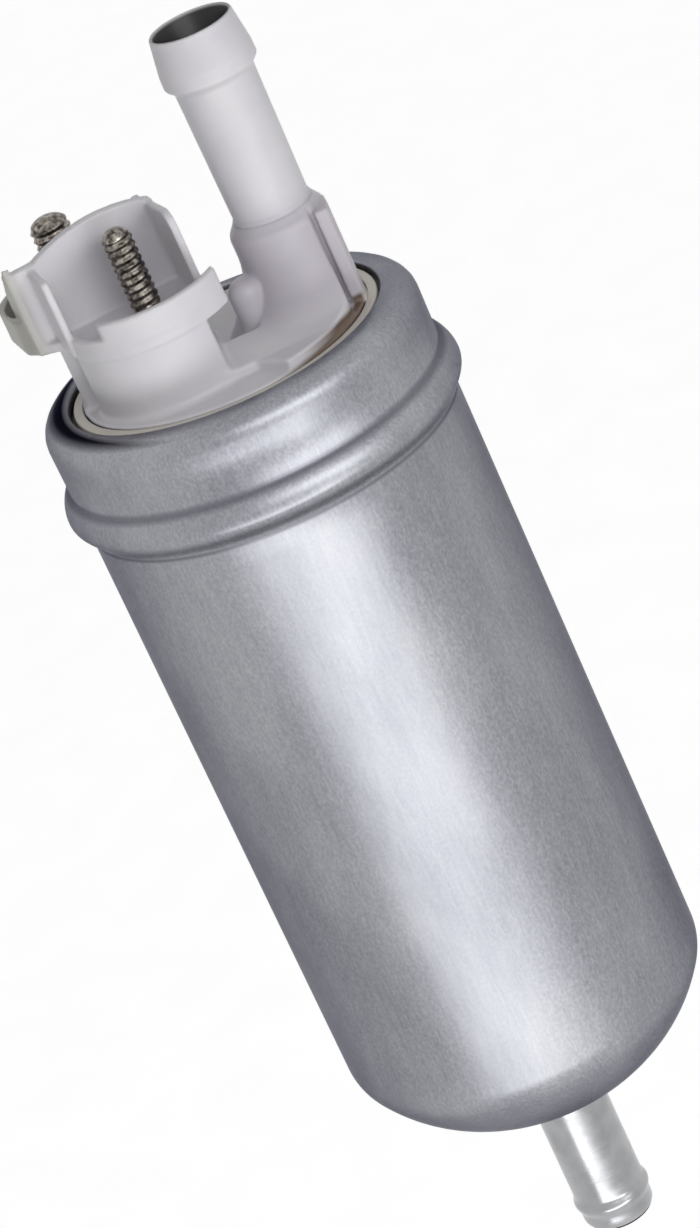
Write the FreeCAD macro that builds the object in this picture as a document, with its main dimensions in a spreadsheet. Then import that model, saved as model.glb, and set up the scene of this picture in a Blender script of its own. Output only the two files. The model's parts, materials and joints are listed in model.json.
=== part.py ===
import FreeCAD, Part
import math
import operator
import os

import Sketcher
from FreeCAD import Placement, Rotation, Vector

# Electric in-line fuel pump: a drawn can with a suction stub at its closed end, a moulded cap with a
# hose nozzle and two terminal studs at the other, and a gerotor pump and its motor inside.
# Heights are counted from the can's flat bottom. At the end every piece is lowered by origin_height,
# which puts the origin on the pump's axis at the middle of the straight wall, where a clamp holds it.

doc = FreeCAD.newDocument("fuel_pump")

# Driving sizes, in millimetres and degrees: name, number, meaning
SIZES = [
    ("origin_height", 42.0, "clamp seat above the can's bottom"),
    ("can_length", 86.3, "can from its flat bottom to the crimped rim"),
    ("can_radius", 19.0, "outside of the can's straight wall"),
    ("can_wall", 0.9, "sheet thickness of the can"),
    ("knee_radius", 5.0, "tight rounding at both ends of the closed end's curve"),
    ("end_radius", 18.0, "wide rounding between the two knees"),
    ("knee_start", 30.0, "turn of the upper knee in degrees"),
    ("knee_end", 70.0, "where the wide rounding ends in degrees"),
    ("bead_drop", 9.6, "middle of the rolled bead below the rim"),
    ("bead_half", 2.4, "half the bead's height"),
    ("bead_rise", 1.4, "how far the bead stands out"),
    ("collar_flare", 0.3, "extra radius of the collar at the bead"),
    ("rim_round", 2.5, "rounding of the crimped rim"),
    ("lip_reach", 3.0, "how far the crimped lip reaches inward"),
    ("stub_radius", 3.8, "outside of the suction stub"),
    ("stub_wall", 0.9, "wall of the suction stub"),
    ("stub_length", 18.0, "suction stub below the can"),
    ("stub_bead_place", 2.6, "stub bead's middle above the stub's mouth"),
    ("stub_bead_rise", 0.28, "how far the stub bead stands out"),
    ("stub_bead_half", 1.1, "half the stub bead's height"),
    ("stub_bead_land", 0.5, "straight land of the stub bead"),
    ("stub_mouth_round", 0.9, "swaged rounding of the stub's mouth"),
    ("stub_flare", 0.6, "fillet of braze where the stub leaves the can"),
    ("stub_flange_reach", 2.4, "stub's inner flange beyond the tube"),
    ("stub_flange_thick", 0.8, "thickness of the stub's inner flange"),
    ("screen_thick", 0.5, "thickness of the inlet screen"),
    ("screen_hole", 0.45, "radius of a screen hole"),
    ("plate_gap", 0.05, "gap between a fitted disc and the can"),
    ("plate_thick", 4.5, "thickness of the suction plate"),
    ("skirt_drop", 3.0, "suction plate's skirt below its underside"),
    ("skirt_wall", 1.6, "wall of the suction plate's skirt"),
    ("rotor_thick", 6.0, "thickness of the rotor ring"),
    ("rotor_gap", 0.03, "end gap of the rotors"),
    ("discharge_thick", 5.0, "thickness of the discharge plate"),
    ("offset", 0.8, "outer rotor's axis beside the shaft"),
    ("lobe_circle", 8.8, "circle of the outer rotor's lobe centres"),
    ("lobe_radius", 2.6, "radius of an outer rotor's lobe"),
    ("lobe_gap", 0.05, "gap between the rotors' lobes"),
    ("outer_rotor_wall", 2.4, "outer rotor's ring behind its pockets"),
    ("running_gap", 0.03, "radial running clearance"),
    ("shaft_radius", 2.5, "armature shaft"),
    ("shaft_flat", 2.0, "shaft's drive flat from its axis"),
    ("foot_floor", 0.7, "suction plate's floor under the shaft"),
    ("bush_wall", 1.4, "wall of a bearing bush"),
    ("bush_length", 6.3, "length of the upper bearing bush"),
    ("port_width", 2.6, "radial width of a pump port"),
    ("port_sweep", 120.0, "sweep of a pump port in degrees"),
    ("relief_wall", 2.05, "discs outside the relief valve's bore"),
    ("relief_bore", 1.8, "radius of the relief valve's bore"),
    ("relief_seat", 1.0, "radius of the relief valve's seat hole"),
    ("relief_ball_radius", 1.6, "relief valve's ball"),
    ("relief_floor", 1.2, "thickness under the relief spring"),
    ("flux_wall", 1.5, "wall of the flux ring"),
    ("air_gap", 0.6, "gap between the core and the magnets"),
    ("magnet_sweep", 130.0, "sweep of a magnet in degrees"),
    ("magnet_inset", 2.0, "flux ring beyond each end of the magnets"),
    ("clip_thick", 0.75, "thickness of a magnet clip"),
    ("clip_share", 0.9, "share of the gap between the magnets that a clip fills"),
    ("magnet_thick", 3.75, "thickness of a field magnet"),
    ("spacer_length", 5.2, "spacer between the lower washer and the core"),
    ("slot_count", 10, "number of armature slots"),
    ("slot_width", 2.0, "width of an armature slot"),
    ("slot_floor", 6.0, "radius of the slots' floor"),
    ("coil_gap", 0.1, "gap between a coil and its slot"),
    ("coil_inset", 0.8, "coils inside the core's surface"),
    ("coil_end", 3.0, "height of the end turns"),
    ("coil_round", 1.0, "rounding of the end turns"),
    ("hub_radius", 3.6, "commutator's moulded hub"),
    ("hub_thick", 1.4, "hub under the commutator"),
    ("hub_inset", 1.0, "hub's flange inside the commutator's edge"),
    ("commutator_radius", 8.4, "outside of the commutator"),
    ("commutator_thick", 2.2, "thickness of the commutator"),
    ("commutator_cut", 0.5, "cut between commutator segments"),
    ("commutator_gap", 1.3, "gap between the commutator and the brush carrier"),
    ("washer_thick", 0.5, "thickness of a thrust washer"),
    ("washer_radius", 4.2, "outside of a thrust washer"),
    ("end_float", 0.1, "end float of the armature"),
    ("rest_gap", 0.02, "gap at a closed valve and at a seated skirt"),
    ("carrier_height", 12.2, "brush carrier from its disc to the cap's spigot"),
    ("carrier_thick", 4.0, "thickness of the brush carrier's disc"),
    ("carrier_rim", 2.4, "wall of the brush carrier's rim"),
    ("carrier_hub", 5.2, "radius of the carrier's bearing hub"),
    ("hub_cover", 1.0, "thickness of the carrier's hub over the shaft's end"),
    ("fuel_way", 1.7, "radius of a fuel way through the carrier"),
    ("fuel_way_circle", 13.1, "circle of the carrier's fuel ways"),
    ("brush_seat", 0.8, "carrier between the upper bush and a brush"),
    ("brush_depth", 3.4, "brush size outward from the shaft"),
    ("brush_width", 4.4, "brush size around the shaft"),
    ("brush_length", 8.0, "brush's length"),
    ("brush_gap", 0.08, "gap round a brush in its guide"),
    ("brush_touch", 0.05, "gap between a new brush and the commutator"),
    ("guide_wall", 0.9, "wall of a brush guide"),
    ("guide_rise", 1.7, "brush guides above the cap's spigot"),
    ("brush_wire", 0.22, "brush spring's wire radius"),
    ("brush_coil", 1.3, "brush spring's coil radius"),
    ("strap_thick", 0.5, "thickness of a terminal strap"),
    ("strap_width", 3.4, "width of a terminal strap"),
    ("spigot_drop", 12.0, "lower end of the cap's spigot below the rim"),
    ("spigot_inset", 1.3, "spigot inside the can's wall"),
    ("spigot_wall", 1.4, "wall of the cap's spigot"),
    ("flange_drop", 6.7, "underside of the cap's flange below the rim"),
    ("chamber_drop", 3.3, "ceiling of the cap's chamber below the rim"),
    ("seal_wire", 1.15, "radius of the cap seal's section"),
    ("ring_width", 1.25, "width of the cap's shoulder ring"),
    ("ring_drop", 0.3, "shoulder ring below the rim"),
    ("plateau_inset", 0.4, "plateau inside the shoulder ring"),
    ("plateau_drop", 0.15, "plateau below the rim"),
    ("block_inset", 7.075, "middle of the terminal block inside the plateau's edge"),
    ("block_y", 2.05, "middle of the terminal block in depth"),
    ("block_turn", 10.0, "turn of the terminal block in degrees"),
    ("block_half", 6.85, "half the block's width over its flanges"),
    ("tower_along", 1.85, "tower's axis along the dividing wall"),
    ("tower_aside", 4.95, "tower's axis beside the dividing wall"),
    ("tower_radius", 8.33, "radius of a tower"),
    ("tower_side", 6.9, "flat side of a tower beside the block's middle"),
    ("tower_rise", 5.9, "top of the towers above the rim"),
    ("lip_proud", 0.14, "how far a lip stands out of its tower"),
    ("pocket_floor", 1.4, "thickness of a pocket's floor over its tower"),
    ("lip_rise", 2.65, "lip above the pocket's floor"),
    ("lip_wall", 0.85, "wall of a lip"),
    ("lip_start", 3.0, "where a lip starts beside the dividing wall"),
    ("lip_end", 7.7, "where a lip and its floor end along the dividing wall"),
    ("lip_notch", 1.6, "drop of a lip at the short flange"),
    ("notch_width", 2.4, "width of the lip's notch"),
    ("wall_overlap", 0.5, "how far a wall reaches into what carries it"),
    ("divider_rise", 8.8, "dividing wall above the pocket's floor"),
    ("divider_wall", 1.3, "thickness of the dividing wall"),
    ("divider_round", 2.0, "rounding of the dividing wall's low end"),
    ("divider_crown", 45.0, "radius of the dividing wall's arched top"),
    ("crown_along", 1.4, "highest point of the dividing wall beside its middle"),
    ("flange_wall", 0.72, "thickness of a flange"),
    ("long_flange", 7.7, "reach of a long flange"),
    ("short_flange", 5.7, "reach of a short flange"),
    ("short_flange_drop", 1.6, "short flanges below the dividing wall"),
    ("far_flange_drop", 2.6, "far pocket's long flange below the dividing wall"),
    ("near_stud_radius", 1.5, "near terminal stud"),
    ("near_stud_rise", 8.6, "near stud above the pocket's floor"),
    ("far_stud_radius", 2.0, "far terminal stud"),
    ("far_stud_rise", 9.6, "far stud above the pocket's floor"),
    ("stud_shift", 0.3, "studs beside the towers' axes"),
    ("stud_collar", 0.35, "stud's collar in the cap beyond its thread"),
    ("stud_head", 1.0, "stud's head beyond its thread"),
    ("stud_head_thick", 1.2, "thickness of a stud's head"),
    ("stud_tip_round", 0.7, "rounding of a stud's tip"),
    ("stud_seal_wire", 0.45, "radius of a stud seal's section"),
    ("nozzle_inset", 4.7, "nozzle's axis inside the plateau's edge"),
    ("nozzle_y", 0.0, "nozzle's axis in depth"),
    ("nozzle_radius", 3.95, "outside of the nozzle's tube"),
    ("nozzle_bore", 2.9, "bore of the nozzle"),
    ("nozzle_length", 19.4, "nozzle above its boss"),
    ("nozzle_mouth", 3.75, "radius of the nozzle's chamfered mouth"),
    ("nozzle_tip_radius", 4.12, "outside of the nozzle at its tip"),
    ("nozzle_crest_radius", 4.68, "outside of the nozzle's hose barb"),
    ("nozzle_crest_drop", 4.35, "hose barb below the tip"),
    ("nozzle_land", 0.5, "straight land of the hose barb"),
    ("nozzle_back", 0.5, "height of the barb's back slope"),
    ("nozzle_spigot", 3.3, "nozzle's spigot inside its boss"),
    ("boss_radius", 4.85, "nozzle's boss"),
    ("boss_rise", 10.5, "top of the nozzle's boss above the rim"),
    ("boss_bevel", 0.6, "bevel of the boss's shoulder"),
    ("boss_flare", 3.0, "how far the boss's foot flares"),
    ("boss_flare_height", 3.4, "height of the boss's flare"),
    ("boss_wall", 1.3, "wall of the nozzle's boss"),
    ("fin_wall", 1.6, "thickness of the boss's fin"),
    ("fin_reach", 4.4, "reach of the boss's fin"),
    ("fin_drop", 0.8, "top of the fin below the boss's top"),
    ("dome_x", 4.15, "small domed boss across"),
    ("dome_y", -2.2, "small domed boss in depth"),
    ("dome_radius", 1.8, "radius of the domed boss"),
    ("dome_rise", 6.1, "top of the domed boss above the rim"),
    ("apron_left", -1.0, "left end of the low step before the nozzle's boss"),
    ("apron_near", -9.75, "near edge of the low step"),
    ("apron_far", -4.7, "far edge of the low step"),
    ("apron_inset", 0.5, "low step inside the plateau's edge"),
    ("apron_near_rise", 0.7, "low step's near edge above the rim"),
    ("apron_far_rise", 2.0, "low step's far edge above the rim"),
    ("valve_seat_rise", 1.7, "check valve's seat above the rim"),
    ("valve_seat_radius", 1.7, "hole of the check valve's seat"),
    ("poppet_radius", 2.6, "check valve's poppet"),
    ("poppet_thick", 1.3, "thickness of the poppet's head"),
    ("poppet_stem", 0.8, "radius of the poppet's stem"),
    ("stem_gap", 0.05, "radial gap round the poppet's stem"),
    ("stem_reach", 1.6, "poppet's stem above the nozzle's foot"),
    ("spider_thick", 0.8, "thickness of the spider at the nozzle's foot"),
    ("spider_way", 0.75, "radius of a way through the spider"),
    ("spider_circle", 1.95, "circle of the spider's ways"),
    ("valve_wire", 0.2, "check spring's wire radius"),
    ("valve_coil", 1.7, "check spring's coil radius"),
    ("relief_wire", 0.2, "relief spring's wire radius"),
    ("relief_coil", 1.2, "relief spring's coil radius"),
    ("spring_turns", 4, "turns of a small spring"),
]

sheet = doc.addObject("Spreadsheet::Sheet", "Sizes")
for row, (alias, number, meaning) in enumerate(SIZES, start=1):
    sheet.set(f"A{row}", meaning)
    sheet.set(f"B{row}", str(number))
    sheet.setAlias(f"B{row}", alias)
doc.recompute()

# A size keeps its number and the formula on the sheet that gives it

OPERATIONS = {"+": operator.add, "-": operator.sub, "*": operator.mul, "/": operator.truediv}


def number_of(value):
    return value.number if isinstance(value, Size) else value


def formula_of(value):
    return value.formula if isinstance(value, Size) else f"({value})"


def combine(left, right, sign):
    number = OPERATIONS[sign](number_of(left), number_of(right))
    return Size(number, f"({formula_of(left)} {sign} {formula_of(right)})")


class Size:
    def __init__(self, number, formula):
        self.number = number
        self.formula = formula

    def __add__(self, other):
        return combine(self, other, "+")

    def __radd__(self, other):
        return combine(other, self, "+")

    def __sub__(self, other):
        return combine(self, other, "-")

    def __rsub__(self, other):
        return combine(other, self, "-")

    def __mul__(self, other):
        return combine(self, other, "*")

    def __rmul__(self, other):
        return combine(other, self, "*")

    def __truediv__(self, other):
        return combine(self, other, "/")

    def __neg__(self):
        return combine(0.0, self, "-")


def cosine(angle):
    return Size(math.cos(math.radians(number_of(angle))), f"cos({formula_of(angle)} * 1 deg)")


def sine(angle):
    return Size(math.sin(math.radians(number_of(angle))), f"sin({formula_of(angle)} * 1 deg)")


def root(value):
    return Size(math.sqrt(number_of(value)), f"sqrt({formula_of(value)})")


class SheetSizes:
    pass


d = SheetSizes()
for alias, number, meaning in SIZES:
    setattr(d, alias, Size(getattr(sheet, alias), f"Sizes.{alias}"))

# Helpers that bind a document object to the sheet


OWN_HEIGHTS = {}


def bind(thing, path, value):
    if path == "Placement.Base.z":
        OWN_HEIGHTS[thing.Name] = formula_of(value)
    if isinstance(value, Size):
        thing.setExpression(path, value.formula)
    elif value:
        thing.setExpression(path, str(value))


def place(thing, x=0.0, y=0.0, z=0.0, turn=0.0):
    thing.Placement = Placement(Vector(0, 0, 0), Rotation(Vector(0, 0, 1), number_of(turn)))
    bind(thing, "Placement.Base.x", x)
    bind(thing, "Placement.Base.y", y)
    bind(thing, "Placement.Base.z", z)
    if isinstance(turn, Size):
        thing.setExpression("Placement.Rotation.Angle", f"{turn.formula} * 1 deg")
    return thing


def cylinder(name, radius, low, high, x=0.0, y=0.0, sweep=360.0, turn=0.0):
    thing = doc.addObject("Part::Cylinder", name)
    bind(thing, "Radius", radius)
    bind(thing, "Height", high - low)
    if isinstance(sweep, Size):
        thing.setExpression("Angle", f"{sweep.formula} * 1 deg")
    return place(thing, x, y, low, turn)


def box(name, x_span, y_span, z_span):
    thing = doc.addObject("Part::Box", name)
    for side, (low, high) in zip(("Length", "Width", "Height"), (x_span, y_span, z_span)):
        bind(thing, side, high - low)
    return place(thing, x_span[0], y_span[0], z_span[0])


def cut(name, base, *tools):
    tool = tools[0] if len(tools) == 1 else fuse(name + "_tools", *tools)
    thing = doc.addObject("Part::Cut", name)
    thing.Base = base
    thing.Tool = tool
    return thing


def fuse(name, *shapes):
    thing = doc.addObject("Part::MultiFuse", name)
    thing.Shapes = list(shapes)
    return thing


def common(name, *shapes):
    thing = doc.addObject("Part::MultiCommon", name)
    thing.Shapes = list(shapes)
    return thing


def origin_plane(body, role):
    return next(item for item in body.Origin.OriginFeatures if item.Role == role)


def arc_centre(start, end, radius):
    # The centre lies left of the way from start to end if the radius is positive
    middle = (start + end) / 2
    chord = end - start
    rise = math.sqrt(radius ** 2 - (chord.Length / 2) ** 2)
    left = Vector(-chord.y, chord.x, 0).normalize()
    return middle + left * math.copysign(rise, radius)


def draw_outline(sketch, corners):
    # A corner is (across, up), or (across, up, radius) where the stretch that ends there is an arc
    points = [Vector(number_of(corner[0]), number_of(corner[1]), 0) for corner in corners]
    first_vertex = {}
    last_vertex = {}
    for index, corner in enumerate(corners):
        start = points[index - 1]
        end = points[index]
        first_vertex[index] = 1
        last_vertex[index] = 2
        if len(corner) == 2:
            sketch.addGeometry(Part.LineSegment(start, end), False)
            continue
        radius = number_of(corner[2])
        centre = arc_centre(start, end, radius)
        turns = [math.atan2(point.y - centre.y, point.x - centre.x) for point in (start, end)]
        if radius < 0:
            turns.reverse()
            first_vertex[index] = 2
            last_vertex[index] = 1
        if turns[1] < turns[0]:
            turns[1] += 2 * math.pi
        circle = Part.Circle(centre, Vector(0, 0, 1), abs(radius))
        sketch.addGeometry(Part.ArcOfCircle(circle, turns[0], turns[1]), False)
    for index, corner in enumerate(corners):
        following = (index + 1) % len(corners)
        vertex = (index, last_vertex[index])
        sketch.addConstraint(
            Sketcher.Constraint("Coincident", *vertex, following, first_vertex[following]))
        for kind, axis, word, value in (("DistanceX", -2, "across", corner[0]),
                                        ("DistanceY", -1, "up", corner[1])):
            if not isinstance(value, Size) and value == 0:
                sketch.addConstraint(Sketcher.Constraint("PointOnObject", *vertex, axis))
                continue
            constraint = Sketcher.Constraint(kind, -1, 1, *vertex, number_of(value))
            add_size(sketch, constraint, f"{word}_{index}", value)
        if len(corner) == 3:
            constraint = Sketcher.Constraint("Radius", index, abs(number_of(corner[2])))
            size = corner[2] if number_of(corner[2]) > 0 else -corner[2]
            add_size(sketch, constraint, f"radius_{index}", size)


def add_size(sketch, constraint, name, value):
    index = sketch.addConstraint(constraint)
    sketch.renameConstraint(index, name)
    bind(sketch, f"Constraints.{name}", value)


def sketch_on(body, name, role, height=0.0):
    sketch = body.newObject("Sketcher::SketchObject", name)
    sketch.AttachmentSupport = (origin_plane(body, role), [""])
    sketch.MapMode = "FlatFace"
    bind(sketch, "AttachmentOffset.Base.z", height)
    return sketch


def turned(name, corners):
    # A body of revolution about the pump's axis from (radius, height) corners
    body = doc.addObject("PartDesign::Body", name)
    sketch = sketch_on(body, name + "_profile", "XZ_Plane")
    draw_outline(sketch, corners)
    turn = body.newObject("PartDesign::Revolution", name + "_turn")
    turn.Profile = (sketch, [""])
    turn.ReferenceAxis = (sketch, ["V_Axis"])
    turn.Angle = 360
    body.Tip = turn
    return body


def crest_arc(half, rise):
    # Radius of the arc that climbs by rise over half and runs level at its crest
    return (half * half + rise * rise) / (2 * rise)


def ring(inner, outer, low, high):
    return [(inner, low), (outer, low), (outer, high), (inner, high)]


NODES = {}


def keep(thing, label):
    thing.Label = label
    NODES[label] = thing
    return thing


def solid(label, shape):
    thing = doc.addObject("Part::Feature", label)
    thing.Shape = shape
    return keep(thing, label)


# Radii of the can's inside and of what fits in it

can_bore = d.can_radius - d.can_wall
disc_radius = can_bore - d.plate_gap
lip_inner = d.can_radius - d.lip_reach
spigot_radius = can_bore - d.spigot_inset
ring_inner = lip_inner - d.plate_gap - d.ring_width
plateau_radius = ring_inner - d.plateau_inset
flux_inner = disc_radius - d.flux_wall
magnet_inner = flux_inner - d.magnet_thick
core_radius = magnet_inner - d.air_gap
coil_radius = core_radius - d.coil_inset
bush_outer = d.shaft_radius + d.bush_wall
bush_bore = d.shaft_radius + d.running_gap
brush_place = bush_outer + d.brush_seat + d.brush_gap + d.brush_depth / 2
block_x = d.block_inset - plateau_radius
nozzle_x = plateau_radius - d.nozzle_inset
pocket_radius = d.lobe_circle + 2 * d.offset - d.lobe_radius + d.lobe_gap
outer_rotor_radius = pocket_radius + d.outer_rotor_wall
relief_x = -(disc_radius - d.relief_wall - d.relief_bore)

# Closed end of the can: a wide rounding between two tight knees, which all meet tangentially

knee_cos, knee_sin = cosine(d.knee_start), sine(d.knee_start)
end_cos, end_sin = cosine(d.knee_end), sine(d.knee_end)
end_height = d.knee_radius * (knee_sin + 1 - end_sin) + d.end_radius * (end_sin - knee_sin)
end_flat = (d.can_radius - d.knee_radius * (1 - knee_cos + end_cos)
            - d.end_radius * (knee_cos - end_cos))
end_middle_x = d.can_radius - d.knee_radius + (d.knee_radius - d.end_radius) * knee_cos
end_middle_z = end_height + (d.end_radius - d.knee_radius) * knee_sin

# Heights of the pump section, which stands on the can's rounded end

plate_low = end_height + 0.0
plate_top = plate_low + d.plate_thick
rotor_top = plate_top + d.rotor_thick
discharge_top = rotor_top + d.discharge_thick
shaft_foot = plate_low + d.foot_floor + d.end_float

# Heights of the cap, which the rim holds, and of the motor between the two

rim = d.can_length + 0.0
bead_height = rim - d.bead_drop
spigot_low = rim - d.spigot_drop
chamber_top = rim - d.chamber_drop
ring_top = rim - d.ring_drop
plateau_top = rim - d.plateau_drop
tower_top = rim + d.tower_rise
pocket_floor = tower_top + d.pocket_floor
lip_top = pocket_floor + d.lip_rise
divider_top = pocket_floor + d.divider_rise
boss_top = rim + d.boss_rise
valve_seat = rim + d.valve_seat_rise
carrier_low = spigot_low - d.carrier_height
carrier_top = carrier_low + d.carrier_thick
guide_top = spigot_low + d.guide_rise
bush_top = carrier_low + d.bush_length
shaft_top = bush_top - 2 * d.end_float
flux_top = carrier_low + 0.0
commutator_top = carrier_low - d.commutator_gap
commutator_low = commutator_top - d.commutator_thick
hub_low = commutator_low - d.hub_thick
core_high = hub_low - 2 * d.coil_gap - d.coil_end
core_low = discharge_top + d.washer_thick + d.end_float + d.spacer_length

# Can: drawn cup with a rolled bead and a rim crimped over the cap


def closed_end(inset):
    # Corners of the rounded end from its flat up to the wall, inset by the sheet's thickness
    end = d.end_radius - inset
    knee = d.knee_radius - inset
    low = (end_middle_x + end * end_cos, end_middle_z - end * end_sin)
    high = (end_middle_x + end * knee_cos, end_middle_z - end * knee_sin)
    return [(end_flat, inset), low, high, (d.can_radius - inset, end_height)], knee, end


def housing_can():
    (flat, low_knee, high_knee, wall), knee, end = closed_end(Size(0.0, "0"))
    (flat_in, low_in, high_in, wall_in), knee_in, end_in = closed_end(d.can_wall)
    bead_low = bead_height - d.bead_half
    bead_high = bead_height + d.bead_half
    bead_outer = d.can_radius + d.bead_rise
    bead_inner = bead_outer - d.can_wall
    collar = d.can_radius + d.collar_flare
    lower_arc = crest_arc(d.bead_half, d.bead_rise)
    upper_arc = crest_arc(d.bead_half, d.bead_rise - d.collar_flare)
    inner_half = d.bead_half - d.can_wall / 2
    inner_lower_arc = crest_arc(inner_half, d.bead_rise)
    inner_upper_arc = crest_arc(inner_half, d.bead_rise - d.collar_flare)
    keep(turned("can", [
        (d.stub_radius, 0),
        (flat[0], 0),
        (*low_knee, knee),
        (*high_knee, end),
        (*wall, knee),
        (d.can_radius, bead_low),
        (bead_outer, bead_height, lower_arc),
        (collar, bead_high, upper_arc),
        (d.can_radius, rim - d.rim_round),
        (d.can_radius - d.rim_round, rim, d.rim_round),
        (lip_inner, rim),
        (lip_inner, rim - d.can_wall),
        (d.can_radius - d.rim_round, rim - d.can_wall),
        (can_bore, rim - d.rim_round, d.can_wall - d.rim_round),
        (can_bore + d.collar_flare, bead_height + inner_half),
        (bead_inner, bead_height, -inner_upper_arc),
        (can_bore, bead_height - inner_half, -inner_lower_arc),
        wall_in,
        (*high_in, -knee_in),
        (*low_in, -end_in),
        (*flat_in, -knee_in),
        (d.stub_radius, d.can_wall),
    ]), "housing_can")


# Suction stub: tube with a flange inside the can, a hose bead and a swaged mouth


def inlet_stub():
    mouth = -d.stub_length
    bead = mouth + d.stub_bead_place
    bead_radius = d.stub_radius + d.stub_bead_rise
    land = d.stub_bead_land / 2
    bead_arc = crest_arc(d.stub_bead_half - land, d.stub_bead_rise)
    bore = d.stub_radius - d.stub_wall
    flange_top = d.can_wall + d.stub_flange_thick
    keep(turned("stub", [
        (bore, mouth + d.stub_wall / 3),
        (d.stub_radius - d.stub_mouth_round, mouth),
        (d.stub_radius, mouth + d.stub_mouth_round, d.stub_mouth_round),
        (d.stub_radius, bead - d.stub_bead_half),
        (bead_radius, bead - land, bead_arc),
        (bead_radius, bead + land),
        (d.stub_radius, bead + d.stub_bead_half, bead_arc),
        (d.stub_radius, d.can_wall),
        (d.stub_radius + d.stub_flange_reach, d.can_wall),
        (d.stub_radius + d.stub_flange_reach, flange_top),
        (bore, flange_top),
    ]), "inlet_stub")
    keep(turned("solder", [
        (d.stub_radius, 0),
        (d.stub_radius, -d.stub_flare),
        (d.stub_radius + d.stub_flare, 0),
    ]), "stub_braze")


# Inlet screen: perforated disc that lies on the stub's flange

SCREEN_COUNTS = (6, 12)
SCREEN_SHARES = (0.4, 0.75)


def inlet_screen():
    low = d.can_wall + d.stub_flange_thick
    high = low + d.screen_thick
    disc = cylinder("screen_disc", d.stub_radius + d.stub_flange_reach / 2, low, high)
    holes = [cylinder("screen_hole_middle", d.screen_hole, low - 1, high + 1)]
    for count, share in zip(SCREEN_COUNTS, SCREEN_SHARES):
        circle = (d.stub_radius - d.stub_wall) * share
        for index in range(count):
            angle = math.radians(360.0 * index / count)
            holes.append(cylinder(f"screen_hole_{count}_{index}", d.screen_hole, low - 1, high + 1,
                                  circle * math.cos(angle), circle * math.sin(angle)))
    keep(cut("screen", disc, *holes), "inlet_screen")


# Pump section: two port plates with the rotor ring between them

SUCTION_START = 30.0
DISCHARGE_START = 210.0


def port(name, low, high, turn):
    inner_radius = d.lobe_circle - d.lobe_radius - 2 * d.offset + d.port_width / 2
    outer = cylinder(name + "_outer", inner_radius + d.port_width, low, high,
                     sweep=d.port_sweep, turn=turn)
    inner = cylinder(name + "_inner", inner_radius, low - 1, high + 1)
    return cut(name, outer, inner)


def pump_section():
    skirt_low = plate_low - d.skirt_drop
    end_inner = d.end_radius - d.can_wall
    below_middle = end_middle_z - skirt_low
    skirt_outer = (end_middle_x + root(end_inner * end_inner - below_middle * below_middle)
                   - d.rest_gap)
    suction = turned("suction_disc", [
        (0, plate_low),
        (skirt_outer - d.skirt_wall, plate_low),
        (skirt_outer - d.skirt_wall, skirt_low),
        (skirt_outer, skirt_low),
        (disc_radius, plate_low),
        (disc_radius, plate_top),
        (0, plate_top),
    ])
    keep(cut("suction", suction,
             cylinder("foot_bore", bush_bore, plate_low + d.foot_floor, plate_top + 1),
             port("suction_port", plate_low - 1, plate_top + 1, SUCTION_START),
             cylinder("relief_bore_low", d.relief_bore, plate_low + d.relief_floor, plate_top + 1,
                      relief_x),
             cylinder("relief_drain", d.relief_seat, plate_low - 1, plate_top, relief_x)),
         "suction_plate")
    rotor_bore = outer_rotor_radius + d.running_gap
    keep(cut("ring_plate", cylinder("ring_disc", disc_radius, plate_top, rotor_top),
             cylinder("rotor_bore", rotor_bore, plate_top - 1, rotor_top + 1, d.offset),
             cylinder("relief_bore_ring", d.relief_bore, plate_top - 1, rotor_top + 1, relief_x)),
         "rotor_ring")
    keep(cut("discharge", cylinder("discharge_disc", disc_radius, rotor_top, discharge_top),
             cylinder("bush_hole", bush_outer, rotor_top - 1, discharge_top + 1),
             port("discharge_port", rotor_top - 1, discharge_top + 1, DISCHARGE_START),
             cylinder("relief_hole", d.relief_seat, rotor_top - 1, discharge_top + 1, relief_x)),
         "discharge_plate")
    keep(turned("lower_bush", ring(bush_bore, bush_outer, rotor_top, discharge_top)),
         "lower_bearing")


# Rotors: the outer one has a round lobe more than the inner one, whose outline they sweep

INNER_LOBES = 6
OUTER_LOBES = INNER_LOBES + 1
OUTLINE_STEPS = 240


def around(step, count):
    angle = 2 * math.pi * step / count
    return complex(math.cos(angle), math.sin(angle))


def inner_rotor_face():
    points = []
    circle = number_of(d.lobe_circle)
    offset = number_of(d.offset)
    inset = number_of(d.lobe_radius + d.lobe_gap)
    for step in range(OUTLINE_STEPS):
        lobe = around(step, OUTLINE_STEPS)
        wave = around(OUTER_LOBES * step, OUTLINE_STEPS)
        slope = circle * lobe + offset * OUTER_LOBES * wave
        point = circle * lobe + offset * wave - inset * slope / abs(slope)
        points.append(Vector(point.real, point.imag, 0))
    curve = Part.BSplineCurve()
    curve.interpolate(Points=points, PeriodicFlag=True)
    return Part.Face(Part.Wire([curve.toShape()]))


def flatted_face(radius, flat):
    # A round with one drive flat
    reach = math.sqrt(radius ** 2 - flat ** 2)
    upper = Vector(flat, reach, 0)
    lower = Vector(flat, -reach, 0)
    arc = Part.Arc(upper, Vector(-radius, 0, 0), lower).toShape()
    return Part.Face(Part.Wire([arc, Part.LineSegment(lower, upper).toShape()]))


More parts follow.
